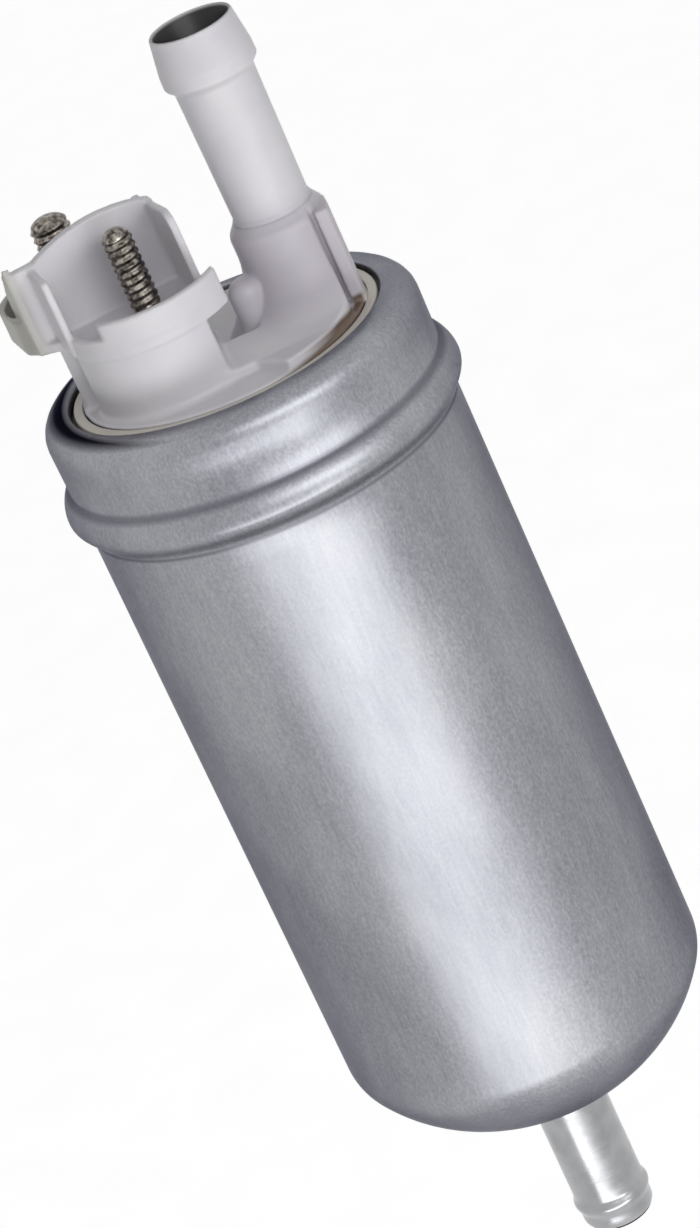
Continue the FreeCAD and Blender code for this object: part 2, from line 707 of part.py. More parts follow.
def rotors():
    low = number_of(plate_top + d.rotor_gap)
    height = number_of(d.rotor_thick - 2 * d.rotor_gap)
    up = Vector(0, 0, height)
    gap = number_of(d.running_gap)
    hole = flatted_face(number_of(d.shaft_radius) + gap, number_of(d.shaft_flat) + gap)
    inner = inner_rotor_face().extrude(up).cut(hole.extrude(up))
    inner.translate(Vector(0, 0, low))
    solid("inner_rotor", inner)
    outer = Part.makeCylinder(number_of(outer_rotor_radius), height)
    hollow = Part.makeCylinder(number_of(pocket_radius), height)
    for index in range(OUTER_LOBES):
        turn = around(index, OUTER_LOBES)
        centre = Vector(turn.real, turn.imag, 0) * number_of(d.lobe_circle)
        hollow = hollow.cut(Part.makeCylinder(number_of(d.lobe_radius), height, centre))
    outer = outer.cut(hollow)
    outer.translate(Vector(number_of(d.offset), 0, low))
    solid("outer_rotor", outer)


# Relief valve: a sprung ball under a hole from the discharge side


def coil(label, radius, wire, low, high, x=0.0, y=0.0):
    radius, wire, low, high, x, y = [number_of(value) for value in (radius, wire, low, high, x, y)]
    span = high - low - 2 * wire
    helix = Part.makeHelix(span / int(number_of(d.spring_turns)), span, radius)
    section = Part.Wire([Part.Circle(Vector(radius, 0, 0), Vector(0, 1, 0), wire).toShape()])
    tube = Part.Wire(helix.Edges).makePipeShell([section], True, True)
    tube.translate(Vector(x, y, low + wire))
    solid(label, tube)


def chord_height(radius, reach):
    # How far from a ball's middle the circle of this radius lies on it
    return root(radius * radius - reach * reach)


def relief_valve():
    centre = rotor_top - chord_height(d.relief_ball_radius, d.relief_seat) - d.rest_gap
    ball = doc.addObject("Part::Sphere", "ball")
    bind(ball, "Radius", d.relief_ball_radius)
    keep(place(ball, relief_x, 0.0, centre), "relief_ball")
    rest = centre - chord_height(d.relief_ball_radius, d.relief_coil) - d.relief_wire
    coil("relief_spring", d.relief_coil, d.relief_wire, plate_low + d.relief_floor, rest, relief_x)


# Motor: flux ring, magnets, armature and commutator


def arc_piece(name, inner_radius, outer_radius, sweep, turn):
    outer = cylinder(name + "_outer", outer_radius, discharge_top + d.magnet_inset,
                     flux_top - d.magnet_inset, sweep=sweep, turn=turn)
    inner = cylinder(name + "_inner", inner_radius, discharge_top, flux_top)
    return cut(name, outer, inner)


def field_magnets():
    keep(turned("flux", ring(flux_inner, disc_radius, discharge_top, flux_top)), "flux_ring")
    gap = 180.0 - d.magnet_sweep
    for word, middle in (("right", 0.0), ("left", 180.0)):
        turn = middle - d.magnet_sweep / 2
        keep(arc_piece(f"{word}_magnet", magnet_inner, flux_inner, d.magnet_sweep, turn),
             f"magnet_{word}")
    clips = []
    for index, middle in enumerate((90.0, 270.0)):
        sweep = gap * d.clip_share
        clips.append(arc_piece(f"clip_{index}", flux_inner - d.clip_thick, flux_inner, sweep,
                               middle - sweep / 2))
    keep(fuse("clips", *clips), "magnet_clips")


def slot_boxes(name, low, high, width, inner, outer):
    boxes = []
    count = int(number_of(d.slot_count))
    for index in range(count):
        turn = around(index, count)
        thing = doc.addObject("Part::Box", f"{name}_{index}")
        bind(thing, "Length", outer - inner)
        bind(thing, "Width", width)
        bind(thing, "Height", high - low)
        x = inner * turn.real + width / 2 * turn.imag
        y = inner * turn.imag - width / 2 * turn.real
        boxes.append(place(thing, x, y, low, 360.0 * index / count))
    return boxes


def armature():
    foot = number_of(shaft_foot)
    waist = number_of(rotor_top)
    lower = flatted_face(number_of(d.shaft_radius), number_of(d.shaft_flat))
    lower = lower.extrude(Vector(0, 0, waist - foot))
    lower.translate(Vector(0, 0, foot))
    upper = Part.makeCylinder(number_of(d.shaft_radius), number_of(shaft_top) - waist,
                              Vector(0, 0, waist))
    solid("armature_shaft", lower.fuse(upper).removeSplitter())
    stack = turned("core_stack", ring(d.shaft_radius, core_radius, core_low, core_high))
    keep(cut("core", stack, *slot_boxes("slot", core_low - 1, core_high + 1, d.slot_width,
                                        d.slot_floor, core_radius + 1)), "armature_core")
    coil_inner = d.slot_floor + d.coil_gap
    parts = slot_boxes("bar", core_low - 1, core_high + 1, d.slot_width - 2 * d.coil_gap,
                       coil_inner, coil_radius - d.coil_gap)
    for word, low in (("low", core_low - d.coil_end - d.coil_gap),
                      ("high", core_high + d.coil_gap)):
        high = low + d.coil_end
        parts.append(turned(f"end_turns_{word}", [
            (coil_inner, low),
            (coil_radius - d.coil_round, low),
            (coil_radius, (low + high) / 2),
            (coil_radius - d.coil_round, high),
            (coil_inner, high),
        ]))
    keep(fuse("coils", *parts), "armature_windings")
    disc = turned("segments", ring(d.hub_radius, d.commutator_radius, commutator_low,
                                   commutator_top))
    cuts = slot_boxes("segment_cut", commutator_low - 1, commutator_top + 1, d.commutator_cut,
                      d.hub_radius - 1, d.commutator_radius + 1)
    keep(cut("copper", disc, *cuts), "commutator")
    hub_top = carrier_low - d.washer_thick - d.end_float
    hub_flange = d.commutator_radius - d.hub_inset
    keep(turned("hub", [
        (d.shaft_radius, hub_low),
        (hub_flange, hub_low),
        (hub_flange, commutator_low),
        (d.hub_radius, commutator_low),
        (d.hub_radius, hub_top),
        (d.shaft_radius, hub_top),
    ]), "commutator_hub")
    washer_top = discharge_top + d.washer_thick
    keep(turned("washer_low", ring(bush_bore, d.washer_radius, discharge_top, washer_top)),
         "thrust_washer_lower")
    keep(turned("washer_high", ring(bush_bore, d.washer_radius, carrier_low - d.washer_thick,
                                    carrier_low)), "thrust_washer_upper")
    keep(turned("spacer", ring(d.shaft_radius, d.washer_radius, washer_top + d.end_float,
                               core_low)), "armature_spacer")


# Brush gear: a moulded carrier with the upper bearing, two brushes and their springs

FUEL_WAYS = 6


def brush_box(name, side, grow, low, high):
    middle = brush_place * side
    x_half = d.brush_depth / 2 + grow
    y_half = d.brush_width / 2 + grow
    return box(name, (middle - x_half, middle + x_half), (-y_half, y_half), (low, high))


def brush_gear():
    brush_low = commutator_top + d.brush_touch
    brush_top = brush_low + d.brush_length
    solids = [turned("carrier_body", [
        (0, carrier_low),
        (disc_radius, carrier_low),
        (disc_radius, spigot_low),
        (disc_radius - d.carrier_rim, spigot_low),
        (disc_radius - d.carrier_rim, carrier_top),
        (d.carrier_hub, carrier_top),
        (d.carrier_hub, bush_top + d.hub_cover),
        (0, bush_top + d.hub_cover),
    ])]
    holes = [cylinder("carrier_bore", bush_outer, carrier_low - 1, bush_top)]
    for word, side in (("left", -1), ("right", 1)):
        solids.append(brush_box(f"guide_{word}", side, d.guide_wall + d.brush_gap, carrier_low,
                                guide_top))
        holes.append(brush_box(f"guide_hole_{word}", side, d.brush_gap, carrier_low - 1,
                               guide_top + 1))
    for index in range(FUEL_WAYS):
        turn = around(index + 0.5, FUEL_WAYS)
        holes.append(cylinder(f"fuel_way_{index}", d.fuel_way, carrier_low - 1, carrier_top + 1,
                              d.fuel_way_circle * turn.real, d.fuel_way_circle * turn.imag))
    keep(cut("carrier", fuse("carrier_solids", *solids), *holes), "brush_carrier")
    keep(turned("upper_bush", ring(bush_bore, bush_outer, carrier_low, bush_top)),
         "upper_bearing")
    for word, side in (("left", -1), ("right", 1)):
        keep(brush_box(f"carbon_{word}", side, 0.0, brush_low, brush_top), f"brush_{word}")
        coil(f"brush_spring_{word}", d.brush_coil, d.brush_wire, brush_top, guide_top,
             brush_place * side)


# Cap: spigot with its seal, flange under the crimp, shoulder ring and plateau


def cap_shell():
    seal_land = can_bore + d.bead_rise - 2 * (d.seal_wire + d.plate_gap)
    land_half = d.seal_wire + d.plate_gap
    flange_low = rim - d.flange_drop
    flange_high = rim - d.can_wall - d.plate_gap
    neck = lip_inner - d.plate_gap
    crimp_inner = d.rim_round - d.can_wall - d.plate_gap
    return turned("cap_shell", [
        (0, chamber_top),
        (spigot_radius - d.spigot_wall, chamber_top),
        (spigot_radius - d.spigot_wall, spigot_low),
        (spigot_radius, spigot_low),
        (spigot_radius, bead_height - land_half),
        (seal_land, bead_height - land_half),
        (seal_land, bead_height + land_half),
        (spigot_radius, bead_height + land_half),
        (spigot_radius, flange_low),
        (disc_radius, flange_low),
        (disc_radius, rim - d.rim_round),
        (disc_radius - crimp_inner, flange_high, crimp_inner),
        (neck, flange_high),
        (neck, ring_top),
        (ring_inner, ring_top),
        (plateau_radius, plateau_top),
        (0, plateau_top),
    ])


# Terminal block, drawn along its dividing wall and turned into place. A flip of 1 gives the near
# pocket and one of -1 the far pocket, which lies half a turn round the block's middle.


def across(flip, low, high):
    return (low, high) if flip == 1 else (-high, -low)


def terminal_half(word, flip, long_top, short_top):
    tower_x = d.tower_along * flip
    tower_y = -d.tower_aside * flip
    lip_outer = d.tower_radius + d.lip_proud
    reach = 2 * lip_outer
    below = pocket_floor - d.wall_overlap
    floor = common(f"floor_{word}",
                   cylinder(f"floor_disc_{word}", lip_outer, tower_top, pocket_floor,
                            tower_x, tower_y),
                   box(f"floor_side_{word}", across(flip, -reach, d.lip_end), (-reach, reach),
                       (tower_top, pocket_floor)))
    wall = cut(f"lip_ring_{word}",
               cylinder(f"lip_outer_{word}", lip_outer, below, lip_top, tower_x, tower_y),
               cylinder(f"lip_inner_{word}", lip_outer - d.lip_wall, tower_top, lip_top + 1,
                        tower_x, tower_y))
    kept = box(f"lip_side_{word}", across(flip, -reach, d.lip_end),
               across(flip, -reach, -d.lip_start), (tower_top, lip_top + 1))
    notch = box(f"lip_notch_{word}", across(flip, -reach, d.notch_width - d.block_half),
                across(flip, -reach, reach), (lip_top - d.lip_notch, lip_top + 1))
    lip = cut(f"lip_{word}", common(f"lip_kept_{word}", wall, kept), notch)
    long_side = box(f"long_flange_{word}",
                    across(flip, d.block_half - d.flange_wall, d.block_half),
                    across(flip, -d.long_flange, 0.0), (tower_top, long_top))
    short_side = box(f"short_flange_{word}",
                     across(flip, -d.block_half, d.flange_wall - d.block_half),
                     across(flip, -d.short_flange, 0.0), (tower_top, short_top))
    return [floor, lip, long_side, short_side]


def terminal_block():
    half = d.divider_wall / 2
    rounding = d.divider_round - d.block_half
    divider = box("divider", (-d.block_half, d.block_half), (-half, half),
                  (tower_top, divider_top))
    blank = box("divider_corner", (-d.block_half - 1, rounding), (-half, half),
                (divider_top - d.divider_round, divider_top + 1))
    rounder = doc.addObject("Part::Cylinder", "divider_rounder")
    bind(rounder, "Radius", d.divider_round)
    bind(rounder, "Height", d.divider_wall)
    rounder.Placement = Placement(Vector(0, 0, 0), Rotation(Vector(1, 0, 0), 90))
    bind(rounder, "Placement.Base.x", rounding)
    bind(rounder, "Placement.Base.y", half)
    bind(rounder, "Placement.Base.z", divider_top - d.divider_round)
    crown = doc.addObject("Part::Cylinder", "divider_crown_disc")
    bind(crown, "Radius", d.divider_crown)
    bind(crown, "Height", d.divider_wall)
    crown.Placement = Placement(Vector(0, 0, 0), Rotation(Vector(1, 0, 0), 90))
    bind(crown, "Placement.Base.x", d.crown_along)
    bind(crown, "Placement.Base.y", half)
    bind(crown, "Placement.Base.z", divider_top - d.divider_crown)
    divider = cut("divider_rounded", common("divider_arched", divider, crown),
                  cut("divider_waste", blank, rounder))
    root_low = chamber_top + d.wall_overlap
    root_high = tower_top + d.wall_overlap
    towers = []
    for word, flip in (("near", 1), ("far", -1)):
        towers.append(cylinder(f"tower_{word}", d.tower_radius, root_low, root_high,
                               d.tower_along * flip, -d.tower_aside * flip))
    feet = place(fuse("towers", *towers), block_x, d.block_y, 0, d.block_turn)
    feet = common("towers_on_plateau", feet,
                  cylinder("tower_limit", plateau_radius, root_low, root_high),
                  box("tower_sides", (block_x - d.tower_side, block_x + d.tower_side),
                      (-plateau_radius, plateau_radius), (root_low, root_high)))
    short_top = divider_top - d.short_flange_drop
    upper = fuse("terminal_walls", divider,
                 *terminal_half("near", 1, divider_top, short_top),
                 *terminal_half("far", -1, divider_top - d.far_flange_drop, short_top))
    return [feet, place(upper, block_x, d.block_y, 0, d.block_turn)]


def stud_place(flip):
    # A stud stands beside its tower's axis
    along = d.tower_along * flip
    aside = -d.tower_aside * flip
    x = block_x - d.stud_shift + along * cosine(d.block_turn) - aside * sine(d.block_turn)
    y = d.block_y + along * sine(d.block_turn) + aside * cosine(d.block_turn)
    return x, y


# Nozzle boss with its flared foot and fin, and the small domed boss


def cone(name, radius_low, radius_high, height, x, y, z):
    thing = doc.addObject("Part::Cone", name)
    bind(thing, "Radius1", radius_low)
    bind(thing, "Radius2", radius_high)
    bind(thing, "Height", height)
    return place(thing, x, y, z)


def apron(low):
    # A low step in front of the boss, which climbs away from the cap's edge
    step = doc.addObject("Part::Wedge", "apron_step")
    right = plateau_radius + 0.0
    for side, value in (("Xmin", d.apron_left), ("X2min", d.apron_left), ("Xmax", right),
                        ("X2max", right), ("Ymin", d.apron_near), ("Ymax", d.apron_far),
                        ("Zmin", low), ("Z2min", low), ("Zmax", rim + d.apron_near_rise),
                        ("Z2max", rim + d.apron_far_rise)):
        bind(step, side, value)
    return common("apron", step,
                  cylinder("apron_limit", plateau_radius - d.apron_inset, low, boss_top))


def boss_solids():
    x = nozzle_x
    y = d.nozzle_y
    low = chamber_top + d.wall_overlap
    body = cylinder("boss_body", d.boss_radius, low, boss_top - d.boss_bevel, x, y)
    bevel = cone("boss_shoulder", d.boss_radius, d.boss_radius - d.boss_bevel, d.boss_bevel,
                 x, y, boss_top - d.boss_bevel)
    flare = cone("boss_skirt", d.boss_radius + d.boss_flare, d.boss_radius, d.boss_flare_height,
                 x, y, plateau_top)
    flare = common("boss_foot", flare, cylinder("foot_limit", plateau_radius, low, boss_top))
    fin_side = x + d.boss_radius
    fin = box("fin", (fin_side - d.fin_wall, fin_side), (y - d.fin_reach, y),
              (low, boss_top - d.fin_drop))
    fin = common("fin_on_plateau", fin, cylinder("fin_limit", ring_inner, low, boss_top))
    dome_middle = rim + d.dome_rise - d.dome_radius
    post = cylinder("dome_post", d.dome_radius, low, dome_middle, d.dome_x, d.dome_y)
    dome = doc.addObject("Part::Sphere", "dome_ball")
    bind(dome, "Radius", d.dome_radius)
    place(dome, d.dome_x, d.dome_y, dome_middle)
    return [body, bevel, flare, fin, post, dome, apron(low)]


def end_cap():
    holes = []
    for word, flip, radius in (("near", 1, d.near_stud_radius), ("far", -1, d.far_stud_radius)):
        x, y = stud_place(flip)
        collar = radius + d.stud_collar
        holes.append(cylinder(f"stud_hole_{word}", collar, chamber_top - 1, pocket_floor + 1, x, y))
        holes.append(cylinder(f"seal_seat_{word}", collar + 2 * d.stud_seal_wire, chamber_top - 1,
                              chamber_top + 2 * d.stud_seal_wire, x, y))
    holes.append(cylinder("boss_bore", d.boss_radius - d.boss_wall, valve_seat, boss_top + 1,
                          nozzle_x, d.nozzle_y))
    holes.append(cylinder("valve_way", d.valve_seat_radius, chamber_top - 1, boss_top,
                          nozzle_x, d.nozzle_y))
    moulding = fuse("cap_solids", cap_shell(), *terminal_block(), *boss_solids())
    keep(cut("cap", moulding, *holes), "end_cap")
    seal_circle = can_bore + d.bead_rise - d.seal_wire - d.plate_gap
    keep(torus("cap_seal", seal_circle, d.seal_wire, 0.0, 0.0, bead_height), "cap_seal_ring")


def torus(name, circle, wire, x, y, z):
    thing = doc.addObject("Part::Torus", name)
    bind(thing, "Radius1", circle)
    bind(thing, "Radius2", wire)
    return place(thing, x, y, z)


# Terminal studs with their seals, and the straps that join them to the brush springs


def strap(word, flip, x, y, head_low):
    # It lies on one brush guide, climbs beside it and reaches under the stud's head
    middle = brush_place * -flip
    half = d.strap_width / 2
    guide_side = d.brush_width / 2 + d.guide_wall + d.brush_gap
    x_span = (middle - half, middle + half)
    z_span = (head_low - d.strap_thick, head_low)
    leg_span = across(flip, -guide_side, d.strap_thick - guide_side)
    arm_span = (x_span[0], x + half) if flip == 1 else (x - half, x_span[1])
    tab = box(f"strap_tab_{word}", x_span, (-guide_side, guide_side),
              (guide_top, guide_top + d.strap_thick))
    leg = box(f"strap_leg_{word}", x_span, leg_span, (guide_top, head_low))
    link = box(f"strap_link_{word}", x_span, (leg_span[0], y + half), z_span)
    arm = box(f"strap_arm_{word}", arm_span, (y - half, y + half), z_span)
    keep(fuse(f"strap_{word}", tab, leg, link, arm), f"terminal_strap_{word}")


def terminals():
    seals = []
    for word, flip, radius, rise in (("near", 1, d.near_stud_radius, d.near_stud_rise),
                                     ("far", -1, d.far_stud_radius, d.far_stud_rise)):
        x, y = stud_place(flip)
        head_low = chamber_top - d.stud_head_thick
        head = radius + d.stud_head
        collar = radius + d.stud_collar
        top = pocket_floor + rise
        stud = turned(f"stud_{word}", [
            (0, head_low),
            (head, head_low),
            (head, chamber_top),
            (collar, chamber_top),
            (collar, pocket_floor),
            (radius, pocket_floor),
            (radius, top - d.stud_tip_round),
            (radius - d.stud_tip_round, top, d.stud_tip_round),
            (0, top),
        ])
        keep(place(stud, x, y), f"terminal_stud_{word}")
        seals.append(torus(f"stud_seal_{word}", collar + d.stud_seal_wire, d.stud_seal_wire,
                           x, y, chamber_top + d.stud_seal_wire))
        strap(word, flip, x, y, head_low)
    keep(fuse("stud_seal_pair", *seals), "stud_seals")


# Outlet nozzle with the spider at its foot, and the check valve under it in the boss

SPIDER_WAYS = 4


def outlet():
    tip = boss_top + d.nozzle_length
    crest = tip - d.nozzle_crest_drop
    foot = boss_top - d.nozzle_spigot
    spigot = d.boss_radius - d.boss_wall - d.plate_gap
    tube = turned("nozzle_tube", [
        (d.poppet_stem + d.stem_gap, foot),
        (spigot, foot),
        (spigot, boss_top),
        (d.nozzle_radius, boss_top),
        (d.nozzle_radius, crest - d.nozzle_land - d.nozzle_back),
        (d.nozzle_crest_radius, crest - d.nozzle_land),
        (d.nozzle_crest_radius, crest),
        (d.nozzle_tip_radius, tip),
        (d.nozzle_mouth, tip),
        (d.nozzle_bore, tip - 2 * (d.nozzle_mouth - d.nozzle_bore)),
        (d.nozzle_bore, foot + d.spider_thick),
        (d.poppet_stem + d.stem_gap, foot + d.spider_thick),
    ])
    ways = []
    for index in range(SPIDER_WAYS):
        turn = around(index + 0.5, SPIDER_WAYS)
        ways.append(cylinder(f"spider_way_{index}", d.spider_way, foot - 1,
                             foot + d.spider_thick + 1, d.spider_circle * turn.real,
                             d.spider_circle * turn.imag))
    keep(place(cut("nozzle", tube, *ways), nozzle_x, d.nozzle_y), "outlet_nozzle")
    poppet_low = valve_seat + d.rest_gap
    poppet_top = poppet_low + d.poppet_thick
    poppet = turned("poppet", [
        (0, poppet_low),
        (d.poppet_radius, poppet_low),
        (d.poppet_radius, poppet_top),
        (d.poppet_stem, poppet_top),
        (d.poppet_stem, foot + d.stem_reach),
        (0, foot + d.stem_reach),
    ])
    keep(place(poppet, nozzle_x, d.nozzle_y), "check_poppet")
    coil("check_spring", d.valve_coil, d.valve_wire, poppet_top, foot, nozzle_x, d.nozzle_y)


housing_can()
inlet_stub()
inlet_screen()
pump_section()
rotors()
relief_valve()
field_magnets()
armature()
brush_gear()
end_cap()
terminals()
outlet()

# Every piece is lowered so that the origin lies at the clamp seat

for thing in NODES.values():
    if thing.TypeId == "Part::Feature":
        lowered = thing.Placement.Base - Vector(0, 0, number_of(d.origin_height))
        thing.Placement = Placement(lowered, thing.Placement.Rotation)
        continue
    own_height = OWN_HEIGHTS.get(thing.Name, "0")
    thing.setExpression("Placement.Base.z", f"{own_height} - Sizes.origin_height")
doc.recompute()

# Checks and export

problems = [item.Name for item in doc.Objects if {"Invalid", "Error"} & set(item.State)]
for label, thing in NODES.items():
    if thing.Shape.isNull() or not thing.Shape.isValid() or not thing.Shape.Solids:
        problems.append(label)
if problems:
    raise RuntimeError("These objects failed: " + ", ".join(problems))

os.makedirs("parts", exist_ok=True)
for label, thing in NODES.items():
    thing.Shape.exportStep(f"parts/{label}.step")
    bounds = thing.Shape.BoundBox
    print(f"{label}: {len(thing.Shape.Solids)} solid, {thing.Shape.Volume:.1f} mm3, "
          f"up from {bounds.ZMin:.2f} to {bounds.ZMax:.2f}")
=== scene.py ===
# %% [markdown]
# # A crimped-can fuel pump
# The part is an in-line electric fuel pump. A drawn metal can holds the pump and its motor, a
# plated suction stub leaves its rounded end, and a white moulded cap is crimped into the other.
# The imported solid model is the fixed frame. This script dresses it: the outside gets finer
# meshes and every piece gets a finish built from nodes.

import json
import math

import bmesh
import bpy
import numpy as np
from mathutils import Matrix, Quaternion, Vector


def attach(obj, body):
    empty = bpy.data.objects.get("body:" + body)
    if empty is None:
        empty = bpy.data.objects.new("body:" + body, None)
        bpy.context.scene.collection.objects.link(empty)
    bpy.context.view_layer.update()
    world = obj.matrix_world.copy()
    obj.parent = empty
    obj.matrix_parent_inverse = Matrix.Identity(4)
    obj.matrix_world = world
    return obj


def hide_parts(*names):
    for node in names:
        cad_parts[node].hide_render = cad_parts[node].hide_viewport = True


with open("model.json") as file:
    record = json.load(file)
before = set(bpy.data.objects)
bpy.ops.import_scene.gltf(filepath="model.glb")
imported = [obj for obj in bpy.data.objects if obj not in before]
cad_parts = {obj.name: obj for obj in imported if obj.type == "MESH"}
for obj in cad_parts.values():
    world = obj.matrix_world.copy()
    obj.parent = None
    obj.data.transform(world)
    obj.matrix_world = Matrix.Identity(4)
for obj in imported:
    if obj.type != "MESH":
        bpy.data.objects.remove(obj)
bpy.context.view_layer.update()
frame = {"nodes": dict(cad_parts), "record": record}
MM = 0.001
CAN_BOTTOM = -42.0
scene = bpy.context.scene
scene.view_settings.view_transform = "Standard"

# %% [markdown]
# ## The camera
# The photograph looks down on the pump by about 23 degrees through a long lens, and the camera
# is rolled so that the can leans. The place, the roll and the lens were worked out from the
# can's straight sides, its bead and its rim, with the can's width taken as 38 mm.

# %% Camera
CAMERA_PLACE = Vector((0.0, -405.16, 188.11)) * MM
CAMERA_TARGET = Vector((0.319, 0.0, 13.73)) * MM
CAMERA_ROLL = math.radians(-24.697)
CAMERA_LENS = 133.03


def make_camera():
    look = (CAMERA_TARGET - CAMERA_PLACE).normalized()
    level = look.cross(Vector((0, 0, 1))).normalized()
    upward = level.cross(look)
    right = level * math.cos(CAMERA_ROLL) + upward * math.sin(CAMERA_ROLL)
    top = right.cross(look)
    turn = Matrix((right, top, -look)).transposed()
    data = bpy.data.cameras.new("camera")
    data.lens = CAMERA_LENS
    data.sensor_width = 36.0
    camera = bpy.data.objects.new("camera", data)
    camera.matrix_world = Matrix.Translation(CAMERA_PLACE) @ turn.to_4x4()
    scene.collection.objects.link(camera)
    scene.camera = camera


make_camera()
print("camera:", round((CAMERA_TARGET - CAMERA_PLACE).length, 4), "m from its target")

# %% [markdown]
# ## Nodes in one line each
# A finish or a shape made from nodes needs many of them. One small function adds a node, sets
# what is given by name and links what is given by socket, so each tree below reads as a list.
# Colours are written as sRGB hex values, and one function turns them to linear.


# %% Node and colour helpers
def add_node(tree, kind, settings=None, **links):
    node = tree.nodes.new(kind)
    for name, value in (settings or {}).items():
        setattr(node, name, value)
    for name, value in links.items():
        socket = pick_socket(node.inputs, name)
        if isinstance(value, bpy.types.NodeSocket):
            tree.links.new(value, socket)
        else:
            socket.default_value = value
    return node


def pick_socket(sockets, name):
    # A name such as input_2 is the place in the list; else the label with _ for a space
    if name.startswith("input_"):
        return sockets[int(name[6:])]
    return sockets[name.replace("_", " ")]


def colour(text):
    parts = [int(text[i:i + 2], 16) / 255 for i in (1, 3, 5)]
    linear = [c / 12.92 if c <= 0.04045 else ((c + 0.055) / 1.055) ** 2.4 for c in parts]
    return (*linear, 1.0)


print("white is", colour("#FFFFFF"))

# %% [markdown]
# ## Finishes
# Every material starts from what the real one is. All of them read Object coordinates, so a
# pattern has its real size in millimetres and stays put when the piece moves. Stains and
# painted shade could be painted on a picture, but a ring between two radii and two heights
# needs no picture and has the same place on every build.


# %% A material with its coordinates and shader
def new_finish(name, **shader_values):
    material = bpy.data.materials.new(name)
    material.use_nodes = True
    tree = material.node_tree
    tree.nodes.clear()
    where = add_node(tree, "ShaderNodeTexCoord").outputs["Object"]
    shader = add_node(tree, "ShaderNodeBsdfPrincipled", **shader_values)
    add_node(tree, "ShaderNodeOutputMaterial", Surface=shader.outputs[0])
    return material, tree, where, shader


def noise(tree, where, size_mm, detail=2.0, stretch=(1.0, 1.0, 1.0)):
    # A noise whose grains are about size_mm wide, longer along an axis with a small stretch
    scale = [factor / (size_mm * MM) for factor in stretch]
    mapped = add_node(tree, "ShaderNodeMapping", Vector=where, Scale=scale)
    return add_node(tree, "ShaderNodeTexNoise", Vector=mapped.outputs[0], Scale=1.0,
                    Detail=detail).outputs["Fac"]


def ramp(tree, value, stops):
    node = add_node(tree, "ShaderNodeValToRGB", Fac=value)
    elements = node.color_ramp.elements
    while len(elements) < len(stops):
        elements.new(0.5)
    for element, (place, text) in zip(elements, stops):
        element.position = place
        element.color = colour(text)
    return node.outputs["Color"]


def maths(tree, way, first, second=0.0, third=0.0):
    return add_node(tree, "ShaderNodeMath", {"operation": way}, input_0=first, input_1=second,
                    input_2=third).outputs[0]


def spread(tree, value, low, high):
    return add_node(tree, "ShaderNodeMapRange", Value=value, To_Min=low, To_Max=high).outputs[0]


def mixed(tree, share, first, second, way="MIX"):
    node = add_node(tree, "ShaderNodeMix", {"data_type": "RGBA", "blend_type": way},
                    Factor=share)
    tree.links.new(first, node.inputs[6])
    tree.links.new(second, node.inputs[7])
    return node.outputs[2]


def stain_and_shade_ring(tree, base, place, tone, centre_x, reach, rise, soft_mm=0.2):
    # Colours the ring between two radii and two heights, both in mm, with soft limits. It lays real
    # stains and painted shade alike.
    across = maths(tree, "SUBTRACT", place.outputs["X"], centre_x * MM)
    squares = maths(tree, "ADD", maths(tree, "POWER", across, 2.0),
                    maths(tree, "POWER", place.outputs["Y"], 2.0))
    radius = maths(tree, "POWER", squares, 0.5)
    limits = [(radius, limit, side) for limit, side in zip(reach, (-1, 1))]
    limits += [(place.outputs["Z"], limit + CAN_BOTTOM, side) for limit, side in zip(rise, (-1, 1))]
    share = 1.0
    for value, limit, side in limits:
        step = add_node(tree, "ShaderNodeMapRange", Value=value,
                        From_Min=(limit + side * soft_mm) * MM,
                        From_Max=(limit - side * soft_mm) * MM).outputs[0]
        share = maths(tree, "MULTIPLY", step, share)
    ink = add_node(tree, "ShaderNodeRGB")
    ink.outputs[0].default_value = colour(tone)
    return mixed(tree, share, base, ink.outputs[0])


def bumped(tree, height, strength, depth_mm):
    return add_node(tree, "ShaderNodeBump", Height=height, Strength=strength,
                    Distance=depth_mm * MM).outputs["Normal"]


def connect(tree, shader, **links):
    for name, socket in links.items():
        tree.links.new(socket, shader.inputs[name.replace("_", " ")])


# %% [markdown]
# ### Zinc-plated drawn steel
# The can is pressed from plated sheet. Drawing leaves fine streaks along its axis, and the
# plating has a mottled bloom of pale and darker patches. Both widen the highlight, so the
# metal looks satin rather than polished. Three rings of painted shade darken the crease above
# the bead, a thin line at the bead's foot and the top of the rim on its left side.

# %% Can steel
# Painted shade: tone, middle in x, radii, heights and softness, all in mm
CAN_TONES = [(0.32, "#7C7D84"), (0.5, "#909197"), (0.68, "#A5A6A9")]
CAN_EDGE = colour("#9A9AA2")
CAN_PAINTED_SHADE = [
    # Painted shade in the crease where the collar meets the bead
    ("#5C5C66", 0.0, (18.0, 22.0), (78.75, 79.2), 0.35),
    # Painted shade along the foot of the bead
    ("#6C6D74", 0.0, (18.0, 22.0), (74.15, 74.45), 0.15),
    # Painted shade on the top of the rim, on its left side
    ("#26262B", 4.0, (20.4, 30.0), (86.0, 90.0), 0.3)]


def can_finish():
    material, tree, where, shader = new_finish(
        "plated_drawn_steel", Metallic=1.0, Specular_Tint=CAN_EDGE)
    streaks = noise(tree, where, 0.3, 3.0, (1.0, 1.0, 0.08))
    bloom = noise(tree, where, 9.0, 3.0, (1.0, 1.0, 0.5))
    speckle = noise(tree, where, 0.25, 2.0, (1.0, 1.0, 0.6))
    base = ramp(tree, bloom, CAN_TONES)
    base = mixed(tree, 0.3, base, ramp(tree, streaks, CAN_TONES))
    base = mixed(tree, 0.4, base, ramp(tree, speckle, CAN_TONES))
    place = add_node(tree, "ShaderNodeSeparateXYZ", Vector=where)
    # Lay the rings of painted shade over the metal's tones
    for values in CAN_PAINTED_SHADE:
        base = stain_and_shade_ring(tree, base, place, *values)
    rough = spread(tree, speckle, 0.3, 0.5)
    normal = bumped(tree, speckle, 0.2, 0.02)
    connect(tree, shader, Base_Color=base, Roughness=rough, Normal=normal)
    return material


